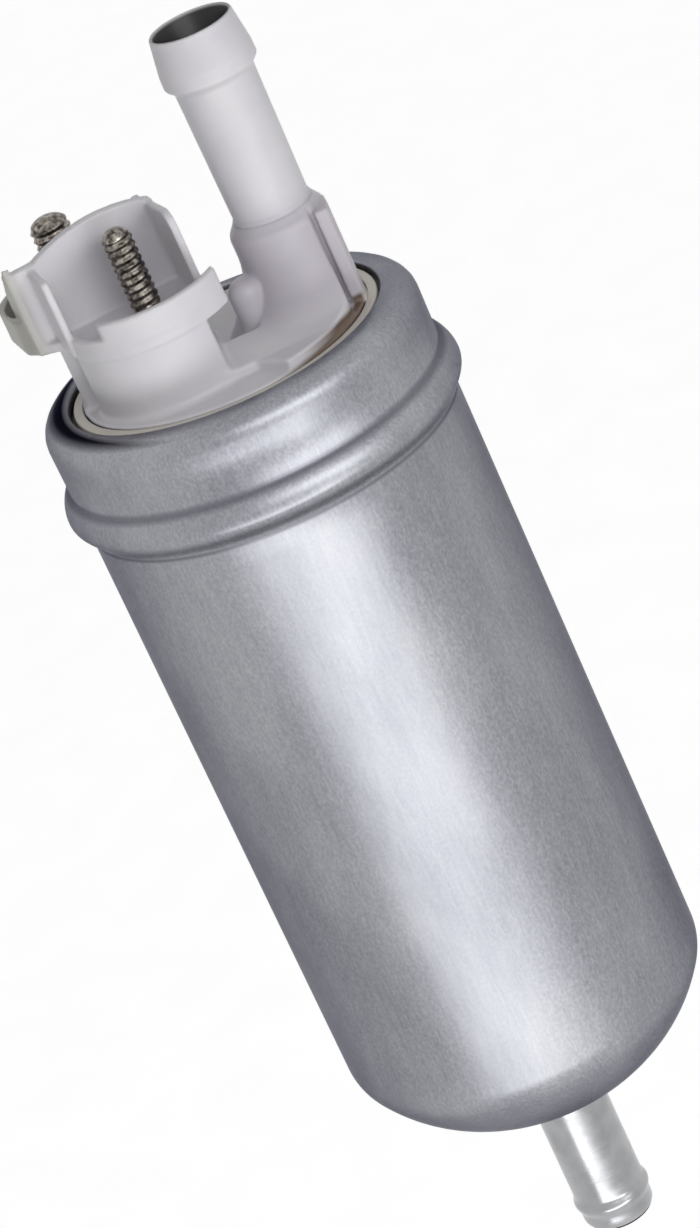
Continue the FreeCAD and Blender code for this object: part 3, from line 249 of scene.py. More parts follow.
# %% [markdown]
# ### Bright plated tube
# The suction stub is a turned tube with a bright plating. Turning leaves faint rings, so its
# roughness changes in bands across the axis.


# %% Stub steel
def stub_finish():
    material, tree, where, shader = new_finish("bright_plated_tube", Metallic=1.0)
    rings = noise(tree, where, 0.4, 2.0, (0.05, 0.05, 1.0))
    cloud = noise(tree, where, 2.5, 3.0)
    base = ramp(tree, cloud, [(0.3, "#97989A"), (0.7, "#A9AAAC")])
    connect(tree, shader, Base_Color=base, Roughness=spread(tree, rings, 0.16, 0.34),
            Normal=bumped(tree, rings, 0.2, 0.01))
    return material


# %% [markdown]
# ### Acetal
# The cap and the nozzle are moulded from white acetal. It is a little translucent, so light
# goes in and comes out nearby: that softens shadows in its corners. Its skin has a fine even
# grain from the mould and a dull gloss. Rings of other tones are a darker one round the boss,
# painted shade on the far pocket's left end and on the wall at the cap's right edge, dirt with
# painted shade in the groove round the plateau, a warmer shoulder ring and painted shade in
# the nozzle's bore.

# %% Cap plastic
ACETAL_SPREAD_MM = 1.0
# Stains and painted shade: tone, middle in x, radii, heights and softness, all in mm
ACETAL_STAINS_AND_SHADE = [
    # A darker, more violet tone round the boss
    ("#BCB7BF", 9.6, (3.9, 7.4), (87.0, 97.5), 1.2),
    # Painted shade on the wall at the cap's right edge, by the rim
    ("#6B5A4C", -1.5, (14.95, 16.0), (80.0, 86.9), 0.2),
    # Painted shade on the far pocket's left end
    ("#A9A8A0", 0.0, (15.3, 24.0), (88.0, 104.0), 0.8),
    ("#D3CCC2", 0.0, (14.6, 16.0), (84.0, 86.6), 0.1),
    # Dirt and painted shade in the groove round the plateau
    ("#3A2B24", 0.0, (14.35, 14.68), (80.0, 85.9), 0.12),
    # Painted shade inside the nozzle's bore
    ("#0A0807", 9.6, (-1.0, 3.84), (113.0, 116.1), 0.08)]


def acetal_finish():
    material, tree, where, shader = new_finish(
        "moulded_acetal", IOR=1.48, Subsurface_Weight=0.5,
        Subsurface_Radius=(1.0, 0.9, 0.8), Subsurface_Scale=ACETAL_SPREAD_MM * MM)
    cloud = noise(tree, where, 6.0, 3.0)
    grain = noise(tree, where, 0.3, 2.0)
    base = ramp(tree, cloud, [(0.3, "#CECCD2"), (0.7, "#D8D6D9")])
    place = add_node(tree, "ShaderNodeSeparateXYZ", Vector=where)
    # Lay the stains and the rings of painted shade over the grain
    for values in ACETAL_STAINS_AND_SHADE:
        base = stain_and_shade_ring(tree, base, place, *values)
    connect(tree, shader, Base_Color=base, Roughness=spread(tree, grain, 0.36, 0.5),
            Normal=bumped(tree, grain, 0.1, 0.01))
    return material


# %% [markdown]
# ### Nickel-plated studs
# The threaded studs are plated steel that has dulled to a warm grey. Dirt stays in the
# grooves of the thread, so the tone changes at the scale of the thread.


# %% Stud steel
def stud_finish():
    material, tree, where, shader = new_finish("dulled_nickel_plate", Metallic=1.0)
    cloud = noise(tree, where, 0.5, 4.0)
    base = ramp(tree, cloud, [(0.35, "#3B3733"), (0.5, "#6E6862"), (0.68, "#A8A298")])
    connect(tree, shader, Base_Color=base, Roughness=spread(tree, cloud, 0.2, 0.42),
            Normal=bumped(tree, cloud, 0.15, 0.02))
    return material


# %% [markdown]
# ### The pieces inside
# The motor and the pump section are closed in, but a cut-away or a pulled-apart view shows
# them, so each has the tones and the grain of its real material. One table gives them.

# %% Finishes of the inner pieces
# slot: tones, metallic, lowest and highest roughness, grain in mm, bump depth in mm
INNER_FINISHES = {
    "braze": ("#A89F86", "#D2CDBE", 1.0, (0.2, 0.4), 0.8, 0.03),
    "inner_plastic": ("#1E1E21", "#2E2E31", 0.0, (0.45, 0.6), 0.3, 0.01),
    "bakelite": ("#4A2A18", "#6B3F24", 0.0, (0.35, 0.5), 0.6, 0.01),
    "pump_metal": ("#9FA1A4", "#C2C4C6", 1.0, (0.3, 0.45), 0.4, 0.01),
    "rotor_steel": ("#70737A", "#8F9298", 1.0, (0.25, 0.4), 0.25, 0.008),
    "core_steel": ("#55585F", "#7B7E84", 1.0, (0.35, 0.5), 0.35, 0.02),
    "flux_steel": ("#7B7C80", "#9A9B9E", 1.0, (0.35, 0.5), 0.8, 0.01),
    "shaft_steel": ("#B5B6BA", "#D2D3D5", 1.0, (0.12, 0.22), 0.3, 0.004),
    "spring_steel": ("#8C8D91", "#B3B4B7", 1.0, (0.2, 0.35), 0.2, 0.004),
    "copper": ("#A8623A", "#D08A5C", 1.0, (0.25, 0.4), 0.5, 0.01),
    "bronze": ("#8A6A35", "#B38F55", 1.0, (0.4, 0.55), 0.2, 0.015),
    "ferrite": ("#1C1C1F", "#34343A", 0.0, (0.5, 0.65), 0.3, 0.015),
    "carbon": ("#101012", "#26221F", 0.2, (0.5, 0.7), 0.2, 0.01),
    "rubber": ("#0E0E0E", "#1B1B1B", 0.0, (0.55, 0.75), 0.4, 0.01),
    "screen_steel": ("#8E8E8A", "#B4B4AE", 1.0, (0.3, 0.45), 0.3, 0.008),
}


def inner_finish(slot, dark, light, metallic, roughness, grain_mm, depth_mm):
    material, tree, where, shader = new_finish(slot + "_finish", Metallic=metallic)
    cloud = noise(tree, where, grain_mm * 6, 3.0)
    grain = noise(tree, where, grain_mm, 2.0)
    base = mixed(tree, 0.4, ramp(tree, cloud, [(0.3, dark), (0.7, light)]),
                 ramp(tree, grain, [(0.3, dark), (0.7, light)]))
    connect(tree, shader, Base_Color=base, Roughness=spread(tree, grain, *roughness),
            Normal=bumped(tree, grain, 0.3, depth_mm))
    return material


FINISHES = {slot: inner_finish(slot, *values) for slot, values in INNER_FINISHES.items()}
FINISHES["can_steel"] = can_finish()
FINISHES["stub_steel"] = stub_finish()
FINISHES["cap_plastic"] = acetal_finish()
FINISHES["stud_steel"] = stud_finish()
print("finishes:", len(FINISHES))

# %% Put the finishes on the solids of the frame
for row in frame["record"]["subparts"]:
    mesh = frame["nodes"][row["node"]].data
    mesh.materials.clear()
    mesh.materials.append(FINISHES[row["material_slot"]])

# %% [markdown]
# ## Turned outlines
# The can, the stub, the nozzle and the studs are round, so each is an outline swept round an
# axis. An outline is a list of corners: how far from the axis, how high, and how round. The
# function below puts short arcs at the corners, with a guard point beside each arc, which
# keeps smooth shading on a flat next to it flat.

# %% Outline with rounded corners
ARC_STEPS = 6
GUARD_SHARE = 0.5


def rounded_outline(corners, closed=True):
    points = []
    count = len(corners)
    for index, (radius, height, rounding) in enumerate(corners):
        here = Vector((radius, height))
        end = not closed and index in (0, count - 1)
        if rounding == 0 or end:
            points.append(here)
            continue
        before = Vector(corners[index - 1][:2]) - here
        after = Vector(corners[(index + 1) % count][:2]) - here
        half = before.angle(after) / 2
        reach = rounding / math.tan(half)
        centre = here + (before.normalized() + after.normalized()).normalized() * (
            rounding / math.sin(half))
        start = here + before.normalized() * reach
        finish = here + after.normalized() * reach
        first = start - centre
        last = finish - centre
        guard = reach * GUARD_SHARE
        if before.length > reach * 2 + guard:
            points.append(start + before.normalized() * guard)
        for step in range(ARC_STEPS + 1):
            share = step / ARC_STEPS
            way = first.slerp(last, share) if first.angle(last) > 1e-4 else first
            points.append(centre + way.normalized() * rounding)
        if after.length > reach * 2 + guard:
            points.append(finish + after.normalized() * guard)
    return points


rounded_square = rounded_outline([(1, 0, 0.2), (2, 0, 0.2), (2, 1, 0.2), (1, 1, 0.2)])
print("a rounded square has", len(rounded_square), "points")

# %% [markdown]
# ## A lathe made of Geometry Nodes
# A lathe tool would do for a plain round piece, but the studs have a thread. Here a grid has
# one column for each step round the axis and one row for each point of the outline. Every grid
# point takes its row's point of the outline and turns it round the axis. A thread is a ridge
# whose height at a point follows the angle and the height there, so it closes on itself.


# %% Lathe tree
def new_tree(name, inputs):
    tree = bpy.data.node_groups.new(name, "GeometryNodeTree")
    tree.interface.new_socket("Outline", in_out="INPUT", socket_type="NodeSocketGeometry")
    for label, kind, value in inputs:
        socket = tree.interface.new_socket(label, in_out="INPUT", socket_type=kind)
        if value is not None:
            socket.default_value = value
    tree.interface.new_socket("Piece", in_out="OUTPUT", socket_type="NodeSocketGeometry")
    start = tree.nodes.new("NodeGroupInput")
    return tree, start.outputs


def lathe_tree():
    tree, given = new_tree("turned_piece", [
        ("Steps round", "NodeSocketInt", 192),
        ("Thread pitch", "NodeSocketFloat", 1.0),
        ("Thread depth", "NodeSocketFloat", 0.0),
        ("Thread low", "NodeSocketFloat", 0.0),
        ("Thread high", "NodeSocketFloat", 1.0),
        ("Finish", "NodeSocketMaterial", None)])
    size = add_node(tree, "GeometryNodeAttributeDomainSize", Geometry=given["Outline"])
    rows = size.outputs["Point Count"]
    grid = add_node(tree, "GeometryNodeMeshGrid", Size_X=1.0, Size_Y=1.0,
                    Vertices_X=maths(tree, "ADD", given["Steps round"], 1.0), Vertices_Y=rows)
    place = add_node(tree, "ShaderNodeSeparateXYZ",
                     Vector=add_node(tree, "GeometryNodeInputPosition").outputs[0])
    turn = maths(tree, "MULTIPLY", maths(tree, "ADD", place.outputs["X"], 0.5), math.tau)
    row = maths(tree, "MULTIPLY", maths(tree, "ADD", place.outputs["Y"], 0.5),
                maths(tree, "SUBTRACT", rows, 1.0))
    row = maths(tree, "ROUND", row)
    sample = add_node(tree, "GeometryNodeSampleIndex", {"data_type": "FLOAT_VECTOR"},
                      Geometry=given["Outline"], Index=row)
    tree.links.new(add_node(tree, "GeometryNodeInputPosition").outputs[0], sample.inputs["Value"])
    point = add_node(tree, "ShaderNodeSeparateXYZ", Vector=sample.outputs[0])
    height = point.outputs["Z"]
    phase = maths(tree, "SUBTRACT", maths(tree, "DIVIDE", height, given["Thread pitch"]),
                  maths(tree, "DIVIDE", turn, math.tau))
    ridge = maths(tree, "MULTIPLY", maths(tree, "PINGPONG", phase, 0.5), 2.0)
    rise = maths(tree, "DIVIDE", maths(tree, "SUBTRACT", height, given["Thread low"]),
                 given["Thread pitch"])
    fall = maths(tree, "DIVIDE", maths(tree, "SUBTRACT", given["Thread high"], height),
                 given["Thread pitch"])
    fade = add_node(tree, "ShaderNodeClamp", Value=maths(tree, "MINIMUM", rise, fall)).outputs[0]
    ridge = maths(tree, "MULTIPLY", maths(tree, "MULTIPLY", ridge, given["Thread depth"]), fade)
    radius = maths(tree, "ADD", point.outputs["X"], ridge)
    spot = add_node(tree, "ShaderNodeCombineXYZ",
                    X=maths(tree, "MULTIPLY", radius, maths(tree, "COSINE", turn)),
                    Y=maths(tree, "MULTIPLY", radius, maths(tree, "SINE", turn)), Z=height)
    moved = add_node(tree, "GeometryNodeSetPosition", Geometry=grid.outputs["Mesh"],
                     Position=spot.outputs[0])
    closed = add_node(tree, "GeometryNodeMergeByDistance", Geometry=moved.outputs[0],
                      Distance=1e-6)
    smooth = add_node(tree, "GeometryNodeSetShadeSmooth", Geometry=closed.outputs[0])
    real = add_node(tree, "GeometryNodeRealizeInstances", Geometry=smooth.outputs[0])
    dressed = add_node(tree, "GeometryNodeSetMaterial", Geometry=real.outputs[0],
                       Material=given["Finish"])
    add_node(tree, "NodeGroupOutput", Piece=dressed.outputs[0])
    return tree


LATHE = lathe_tree()
print("lathe nodes:", len(LATHE.nodes))

# %% [markdown]
# The tree works on an outline, so a piece starts as a chain of points. Its result is turned
# into a plain mesh, its faces are made to point outwards and its corners are brought to the
# piece's own axis. Only then does it join a body of the frame.


# %% Make a turned piece
def finished_piece(name, mesh, body, nodes):
    piece = bpy.data.objects.new(name, mesh)
    scene.collection.objects.link(piece)
    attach(piece, body)
    if nodes:
        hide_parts(*nodes)
    print(name, "has", len(mesh.polygons), "faces")
    return piece


def set_inputs(modifier, values):
    for item in modifier.node_group.interface.items_tree:
        if item.item_type == "SOCKET" and item.name in values:
            modifier[item.identifier] = values[item.name]


def turned_mesh(name, outline, slot, closed=True, centre=(0.0, 0.0), **inputs):
    points = list(outline) + ([outline[0]] if closed else [])
    chain = bpy.data.meshes.new(name + "_outline")
    chain.from_pydata([(x * MM, 0, (z + CAN_BOTTOM) * MM) for x, z in points],
                      [(i, i + 1) for i in range(len(points) - 1)], [])
    carrier = bpy.data.objects.new(name + "_outline", chain)
    scene.collection.objects.link(carrier)
    lathe = carrier.modifiers.new("lathe", "NODES")
    lathe.node_group = LATHE
    set_inputs(lathe, {"Finish": FINISHES[slot], **inputs})
    depsgraph = bpy.context.evaluated_depsgraph_get()
    mesh = bpy.data.meshes.new_from_object(carrier.evaluated_get(depsgraph))
    mesh.name = name
    bpy.data.objects.remove(carrier)
    work = bmesh.new()
    work.from_mesh(mesh)
    bmesh.ops.dissolve_degenerate(work, dist=1e-7, edges=work.edges)
    bmesh.ops.recalc_face_normals(work, faces=work.faces)
    bmesh.ops.translate(work, vec=(centre[0] * MM, centre[1] * MM, 0), verts=work.verts)
    work.to_mesh(mesh)
    work.free()
    return mesh


# %% [markdown]
# ## The can
# One sheet of steel is drawn to a cup. The punch leaves a closed end that is almost a cone: a
# wide rounding between two tight knees. Above the straight wall a bead is rolled for the
# cap's seal, and the rim is bent over the cap. A cylinder with bevelled edges would have even
# roundings only, so the can is one outline on the lathe, inside and out.

# %% Can outline
CAN_RADIUS = 19.0
CAN_WALL = 0.9
KNEE_RADIUS = 5.0
END_RADIUS = 18.0
KNEE_START = math.radians(30.0)
KNEE_END = math.radians(70.0)
END_STEPS = 30
BEAD_HEIGHT = 76.69
BEAD_HALF = (2.35, 2.44)
BEAD_RADIUS = 20.39
BEAD_STEPS = 12
BEAD_FULLNESS = 0.8
COLLAR_RADIUS = 19.1
RIM_RADIUS = 19.2
RIM_TOP = 86.35
RIM_ROLL = 2.3
LIP_RADIUS = 16.0
LIP_EDGE = 0.25
WALL_HEIGHTS = (20.0, 40.0, 60.0, 72.0)
STUB_RADIUS = 3.8


def corner_points(inset):
    # From the flat up to the wall; the wide rounding has the deeper centre
    knee_rise = KNEE_RADIUS * (1 + math.sin(KNEE_START) - math.sin(KNEE_END))
    height = knee_rise + END_RADIUS * (math.sin(KNEE_END) - math.sin(KNEE_START))
    apart = END_RADIUS - KNEE_RADIUS
    upper = Vector((CAN_RADIUS - KNEE_RADIUS, height))
    middle = upper + apart * Vector((-math.cos(KNEE_START), math.sin(KNEE_START)))
    lower = middle + apart * Vector((math.cos(KNEE_END), -math.sin(KNEE_END)))
    points = []
    for step in range(END_STEPS + 1):
        turn = math.pi / 2 * (1 - step / END_STEPS)
        centre, radius = middle, END_RADIUS
        if turn >= KNEE_END:
            centre, radius = lower, KNEE_RADIUS
        elif turn <= KNEE_START:
            centre, radius = upper, KNEE_RADIUS
        way = Vector((math.cos(turn), -math.sin(turn)))
        points.append(tuple(centre + way * (radius - inset)))
    return points


def bead_points(radius, base_low, base_high, half_low, half_high):
    # Below, the bead runs out softly into the wall; above, it meets the collar in a crease
    points = []
    for step in range(-BEAD_STEPS, BEAD_STEPS + 1):
        share = step / BEAD_STEPS
        if step < 0:
            base, half = base_low, half_low
            fill = (1 + math.cos(math.pi * share)) / 2
        else:
            base, half = base_high, half_high
            fill = 1 - share ** 2
        rise = (radius - base) * fill ** BEAD_FULLNESS
        points.append((base + rise, BEAD_HEIGHT + half * share))
    return points


def can_outline():
    outer = [(STUB_RADIUS, 0.0), (STUB_RADIUS + 0.8, 0.0)] + corner_points(0.0)
    outer += [(CAN_RADIUS, height) for height in WALL_HEIGHTS]
    outer += bead_points(BEAD_RADIUS, CAN_RADIUS, COLLAR_RADIUS, *BEAD_HALF)
    rim = rounded_outline([
        (COLLAR_RADIUS, BEAD_HEIGHT + BEAD_HALF[1], 0.0),
        (RIM_RADIUS, RIM_TOP, RIM_ROLL),
        (LIP_RADIUS, RIM_TOP, LIP_EDGE),
        (LIP_RADIUS, RIM_TOP - CAN_WALL, LIP_EDGE),
        (CAN_RADIUS - CAN_WALL, RIM_TOP - CAN_WALL, RIM_ROLL - CAN_WALL),
        (CAN_RADIUS - CAN_WALL, BEAD_HEIGHT, 0.0)], closed=False)
    inner = [(x - CAN_WALL, z) for x, z in
             reversed(bead_points(BEAD_RADIUS, CAN_RADIUS, CAN_RADIUS, *BEAD_HALF))]
    inner += list(reversed(corner_points(CAN_WALL)))
    inner.append((STUB_RADIUS, CAN_WALL))
    return outer + [tuple(point) for point in rim[1:-1]] + inner


finished_piece("can_shell", turned_mesh("can_shell", can_outline(), "can_steel",
                                        **{"Steps round": 256}),
               "pump_body", ["housing_can"])

# %% [markdown]
# ## The suction stub
# A tube is swaged round at its mouth and has a low bead that holds the hose. A thin fillet of
# braze seals it to the can. Both are round, so the lathe makes them too: the bead is a soft
# wave in the tube's outline, and the fillet is a hollow quarter circle.

# %% Stub and its braze
STUB_TIP = -18.0
STUB_BORE = 2.9
STUB_FOOT = 1.7
STUB_COLLAR = (6.2, 0.9)
STUB_BEAD_HEIGHT = -15.3
STUB_BEAD_HALF = 1.1
STUB_BEAD_RISE = 0.3
STUB_HEIGHTS = (-13.0, -8.0, -3.0, 0.9)
BRAZE_SIZE = 0.7
BRAZE_STEPS = 8
BRAZE_FOOT = 0.05
BRAZE_REACH = 4.5


def swell(outline, middle, half, rise, steps=10):
    for step in range(-steps, steps + 1):
        share = step / steps
        outline.append((STUB_RADIUS + rise * (1 + math.cos(math.pi * share)) / 2,
                        middle + half * share))


def stub_outline():
    mouth = rounded_outline([
        (STUB_BORE, 1.6, 0.0), (STUB_BORE, STUB_TIP, 0.35), (STUB_RADIUS, STUB_TIP, 0.8),
        (STUB_RADIUS, STUB_BEAD_HEIGHT, 0.0)], closed=False)
    outline = [tuple(point) for point in mouth[:-1]]
    swell(outline, STUB_BEAD_HEIGHT, STUB_BEAD_HALF, STUB_BEAD_RISE)
    outline += [(STUB_RADIUS, height) for height in STUB_HEIGHTS]
    outline += [STUB_COLLAR, (STUB_COLLAR[0], STUB_FOOT), (STUB_BORE, STUB_FOOT)]
    return outline


def braze_outline():
    turns = [math.pi / 2 * step / BRAZE_STEPS for step in range(BRAZE_STEPS + 1)]
    hollow = [(STUB_RADIUS + BRAZE_SIZE * (1 - math.sin(turn)),
               -BRAZE_SIZE * (1 - math.cos(turn))) for turn in turns]
    return hollow + [(STUB_RADIUS, BRAZE_FOOT), (BRAZE_REACH, BRAZE_FOOT)]


finished_piece("suction_stub", turned_mesh("suction_stub", stub_outline(), "stub_steel",
                                           **{"Steps round": 128}),
               "pump_body", ["inlet_stub"])
finished_piece("stub_fillet", turned_mesh("stub_fillet", braze_outline(), "braze",
                                          **{"Steps round": 128}),
               "pump_body", ["stub_braze"])

# %% [markdown]
# ## The hose nozzle
# The nozzle is moulded apart from the cap and welded into its boss. Below its mouth it swells
# to a barb: a long slope on the hose's side and a short soft step under it. Its tube widens a
# little towards the barb. All of that is one outline of the lathe, with the bore in it.

# %% Nozzle
NOZZLE_PLACE = (9.6, 0.0)
NOZZLE_TIP = 116.2
BOSS_TOP = 96.8
NOZZLE_FOOT = 3.8
NOZZLE_RADIUS = 3.97
NOZZLE_BORE = 2.9


def nozzle_outline():
    return rounded_outline([
        (NOZZLE_BORE, 94.0, 0.0),
        (3.5, 94.0, 0.0),
        (3.5, BOSS_TOP - 0.1, 0.0),
        (NOZZLE_FOOT + 0.25, BOSS_TOP - 0.1, 0.0),
        (NOZZLE_FOOT, BOSS_TOP + 0.4, 0.5),
        (NOZZLE_RADIUS, 110.6, 0.6),
        (4.68, 111.3, 0.5),
        (4.64, 112.6, 0.6),
        (4.12, NOZZLE_TIP, 0.25),
        (3.88, NOZZLE_TIP, 0.12),
        (NOZZLE_BORE, 113.6, 0.6)])


finished_piece("hose_nozzle", turned_mesh("hose_nozzle", nozzle_outline(), "cap_plastic",
                                          centre=NOZZLE_PLACE, **{"Steps round": 160}),
               "pump_body", ["outlet_nozzle"])

# %% [markdown]
# ## Threaded studs
# Both studs end in a short domed tip. A modelled spiral would need its own mesh, and its ends
# would have to be closed by hand. So the thread is drawn on the lathe, as a ridge whose crest
# climbs by one pitch in each turn and fades at both ends.

# %% Studs
BLOCK_PLACE = (-7.225, 2.05)
BLOCK_TURN = math.radians(10.0)
TOWER_ALONG = 1.85
TOWER_ASIDE = 4.95
POCKET_FLOOR = 93.6
STUD_SHIFT = 0.3
STUD_LOW = 81.8
STUD_HEAD = 1.0
STUD_HEAD_TOP = 83.0
STUD_COLLAR = 0.35
STUD_COLLAR_LOW = 92.9
STUD_EDGE = 0.1
TIP_HEIGHT = 0.9
TIP_STEPS = 10
THREAD_DEPTH_SHARE = 0.32
THREAD_END = 0.35
THREAD_ROWS = 10


def stud_place(along, aside):
    # The studs stand a little to the left of the middles of their towers
    x = BLOCK_PLACE[0] + along * math.cos(BLOCK_TURN) - aside * math.sin(BLOCK_TURN)
    y = BLOCK_PLACE[1] + along * math.sin(BLOCK_TURN) + aside * math.cos(BLOCK_TURN)
    return x - STUD_SHIFT, y


def stud(name, node, radius, top, pitch, place):
    # Inside the cap the stud is as thin as its thread's root, so that no wall shows it
    depth = pitch * THREAD_DEPTH_SHARE
    root = radius - depth
    head = radius + STUD_HEAD
    collar = radius + STUD_COLLAR
    foot = rounded_outline([
        (0.0, STUD_LOW, 0.0), (head, STUD_LOW, STUD_EDGE), (head, STUD_HEAD_TOP, STUD_EDGE),
        (root, STUD_HEAD_TOP, 0.0), (root, STUD_COLLAR_LOW, 0.0),
        (collar, STUD_COLLAR_LOW, 0.0), (collar, POCKET_FLOOR, STUD_EDGE),
        (root, POCKET_FLOOR, 0.0)], closed=False)
    outline = [tuple(point) for point in foot]
    shoulder = top - TIP_HEIGHT
    rows = int((top - POCKET_FLOOR) / pitch * THREAD_ROWS)
    outline += [(root, POCKET_FLOOR + (shoulder - POCKET_FLOOR) * row / rows)
                for row in range(1, rows)]
    for step in range(TIP_STEPS):
        turn = math.pi / 2 * step / TIP_STEPS
        outline.append((root * math.cos(turn), shoulder + (top - shoulder) * math.sin(turn)))
    outline.append((0.0, top))
    mesh = turned_mesh(name, outline, "stud_steel", closed=False, centre=place,
                       **{"Steps round": 64, "Thread pitch": pitch * MM,
                          "Thread depth": depth * MM,
                          "Thread low": (POCKET_FLOOR + CAN_BOTTOM) * MM,
                          "Thread high": (top - THREAD_END + CAN_BOTTOM) * MM})
    finished_piece(name, mesh, "pump_body", [node])


# Radius, top and pitch of each thread, in mm
NEAR_THREAD = (1.5, 102.2, 0.75)
FAR_THREAD = (2.0, 103.2, 0.8)
stud("near_stud", "terminal_stud_near", *NEAR_THREAD, stud_place(TOWER_ALONG, -TOWER_ASIDE))
stud("far_stud", "terminal_stud_far", *FAR_THREAD, stud_place(-TOWER_ALONG, TOWER_ASIDE))

# %% [markdown]
# ## The cap as one moulded form
# The cap has walls that grow out of round towers, and every corner is filled with a soft
# radius, because melted plastic has to flow through it. Boolean cuts leave hard corners that
# no bevel can follow here. So the form is written as a distance: a function that is negative
# inside the plastic and positive outside. Two forms are joined with a rounding between them,
# and the skin is laid where the distance is zero.


# %% Distances
def soft_union(first, second, rounding):
    blend = np.clip(0.5 + 0.5 * (second - first) / rounding, 0, 1)
    return second + (first - second) * blend - rounding * blend * (1 - blend)


def soft_cut(form, tool, rounding):
    return -soft_union(-form, tool, rounding)


def soft_common(first, second, rounding):
    return -soft_union(-first, -second, rounding)


def upright(x, y, z, centre, radius, low, high, edge=0.2):
    # An upright cylinder with rounded edges
    side = np.hypot(x - centre[0], y - centre[1]) - (radius - edge)
    end = np.abs(z - (low + high) / 2) - ((high - low) / 2 - edge)
    return (np.minimum(np.maximum(side, end), 0)
            + np.hypot(np.maximum(side, 0), np.maximum(end, 0)) - edge)


def slab(u, v, z, u_span, v_span, z_span, edge=0.2):
    # A box with rounded edges
    gaps = [np.abs(value - (low + high) / 2) - ((high - low) / 2 - edge)
            for value, (low, high) in ((u, u_span), (v, v_span), (z, z_span))]
    outside = np.sqrt(sum(np.maximum(gap, 0) ** 2 for gap in gaps))
    return np.minimum(np.maximum(np.maximum(*gaps[:2]), gaps[2]), 0) + outside - edge


def cone(x, y, z, centre, low, high, radius_low, radius_high):
    # An upright cone; the slope makes its distance shorter than the level reach
    share = (z - low) / (high - low)
    radius = radius_low + (radius_high - radius_low) * share
    slope = math.hypot(high - low, radius_high - radius_low) / (high - low)
    side = (np.hypot(x - centre[0], y - centre[1]) - radius) / slope
    return np.maximum(side, np.maximum(low - z, z - high))


# %% [markdown]
# ### The terminal block
# The block stands across the cap, turned by 10 degrees. A wall with an arched top divides it.
# On each side a round tower carries a pocket: a floor, a lip round its outer side, a long
# flange at one end of the wall and a short one at the other. The far half is the near one
# after half a turn, with a long flange of its own and no notch in its lip.

# %% Terminal block
PLATEAU_RADIUS = 14.45
PLATEAU_TOP = 86.15
CAP_LOW = 84.6
TOWER_RADIUS = 8.33
TOWER_TOP = 92.9
TOWER_OVERLAP = 0.3
TOWER_SIDE = 6.9
FLOOR_LOW = 92.7
LIP_PROUD = 0.08
LIP_WALL = 0.85
LIP_TOP = 96.25
NOTCH_DROP = 1.6
NOTCH_END = -4.45
WALL_HALF = 0.65
WALL_TOP = 102.75
WALL_MIDDLE = 1.0
WALL_CROWN = 17.0
TAIL_TOP = 101.3
BLOCK_HALF = 6.85
FLANGE_WALL = 0.72
FAR_SIDE = 8.95
# Long flange: outer side, reach, top and fall; lip: side and start; whether it has a notch
NEAR_POCKET = (BLOCK_HALF, 7.7, 101.4, -0.65, 7.7, 3.0, True)
FAR_POCKET = (FAR_SIDE, 3.6, 101.6, 3.0, 9.7, 0.4, False)
SHORT_REACH = 5.7
SHORT_TOP = 100.8
LONG_ROUNDING = 1.8
SHORT_ROUNDING = 0.6
SOFT = 0.35
EDGE = 0.22
BEYOND = 5
FAR_BEYOND = 20


def flange(u, v, z, side, reach, low, high, drop, rounding):
    # A thin upright plate along the edge of a pocket, its top falling by drop over its reach
    plate = slab(u, v, z, side, (-reach, WALL_HALF), (low, high + BEYOND), 0.15)
    top = z - high - drop * v / reach
    corner_v = -v - (reach - rounding)
    corner_z = top + rounding
    nearest = np.maximum(corner_v, corner_z)
    outside = np.hypot(np.maximum(corner_v, 0), np.maximum(corner_z, 0))
    limit = np.where(nearest > 0, outside, nearest) - rounding
    return soft_common(plate, limit, 0.12)


def pocket(u, v, z, long_side, long_reach, long_top, long_drop, lip_side, lip_start, notched):
    centre = (TOWER_ALONG, -TOWER_ASIDE)
    lip_radius = TOWER_RADIUS + LIP_PROUD
    band = upright(u, v, z, centre, lip_radius, FLOOR_LOW, LIP_TOP, 0.3)
    hollow = upright(u, v, z, centre, lip_radius - LIP_WALL, POCKET_FLOOR, LIP_TOP + BEYOND, EDGE)
    lip = soft_cut(band, hollow, 0.15)
    lip = soft_common(lip, v + lip_start, 0.2)
    if notched:
        notch = slab(u, v, z, (-FAR_BEYOND, NOTCH_END), (-FAR_BEYOND, FAR_BEYOND),
                     (LIP_TOP - NOTCH_DROP, LIP_TOP + BEYOND), 0.3)
        lip = soft_cut(lip, notch, 0.25)
    floor = upright(u, v, z, centre, lip_radius, FLOOR_LOW, POCKET_FLOOR, 0.1)
    form = soft_common(soft_union(floor, lip, 0.2), u - lip_side, 0.25)
    long_plate = flange(u, v, z, (long_side - FLANGE_WALL, long_side), long_reach, TOWER_TOP,
                        long_top, long_drop, LONG_ROUNDING)
    short_plate = flange(u, v, z, (-BLOCK_HALF, FLANGE_WALL - BLOCK_HALF), SHORT_REACH,
                         TOWER_TOP, SHORT_TOP, 0.0, SHORT_ROUNDING)
    return soft_union(form, soft_union(long_plate, short_plate, SOFT), SOFT)


def divider(u, v, z):
    # The wall between the pockets has an arched top and runs on to the left below the arch
    wall = slab(u, v, z, (-BLOCK_HALF, BLOCK_HALF), (-WALL_HALF, WALL_HALF),
                (TOWER_TOP, WALL_TOP + BEYOND), EDGE)
    crown = np.hypot(u - WALL_MIDDLE, z - (WALL_TOP - WALL_CROWN)) - WALL_CROWN
    wall = soft_common(wall, crown, 0.15)
    tail = slab(u, v, z, (-FAR_SIDE, 0.0), (-WALL_HALF, WALL_HALF), (TOWER_TOP, TAIL_TOP), EDGE)
    return soft_union(wall, tail, 0.1)


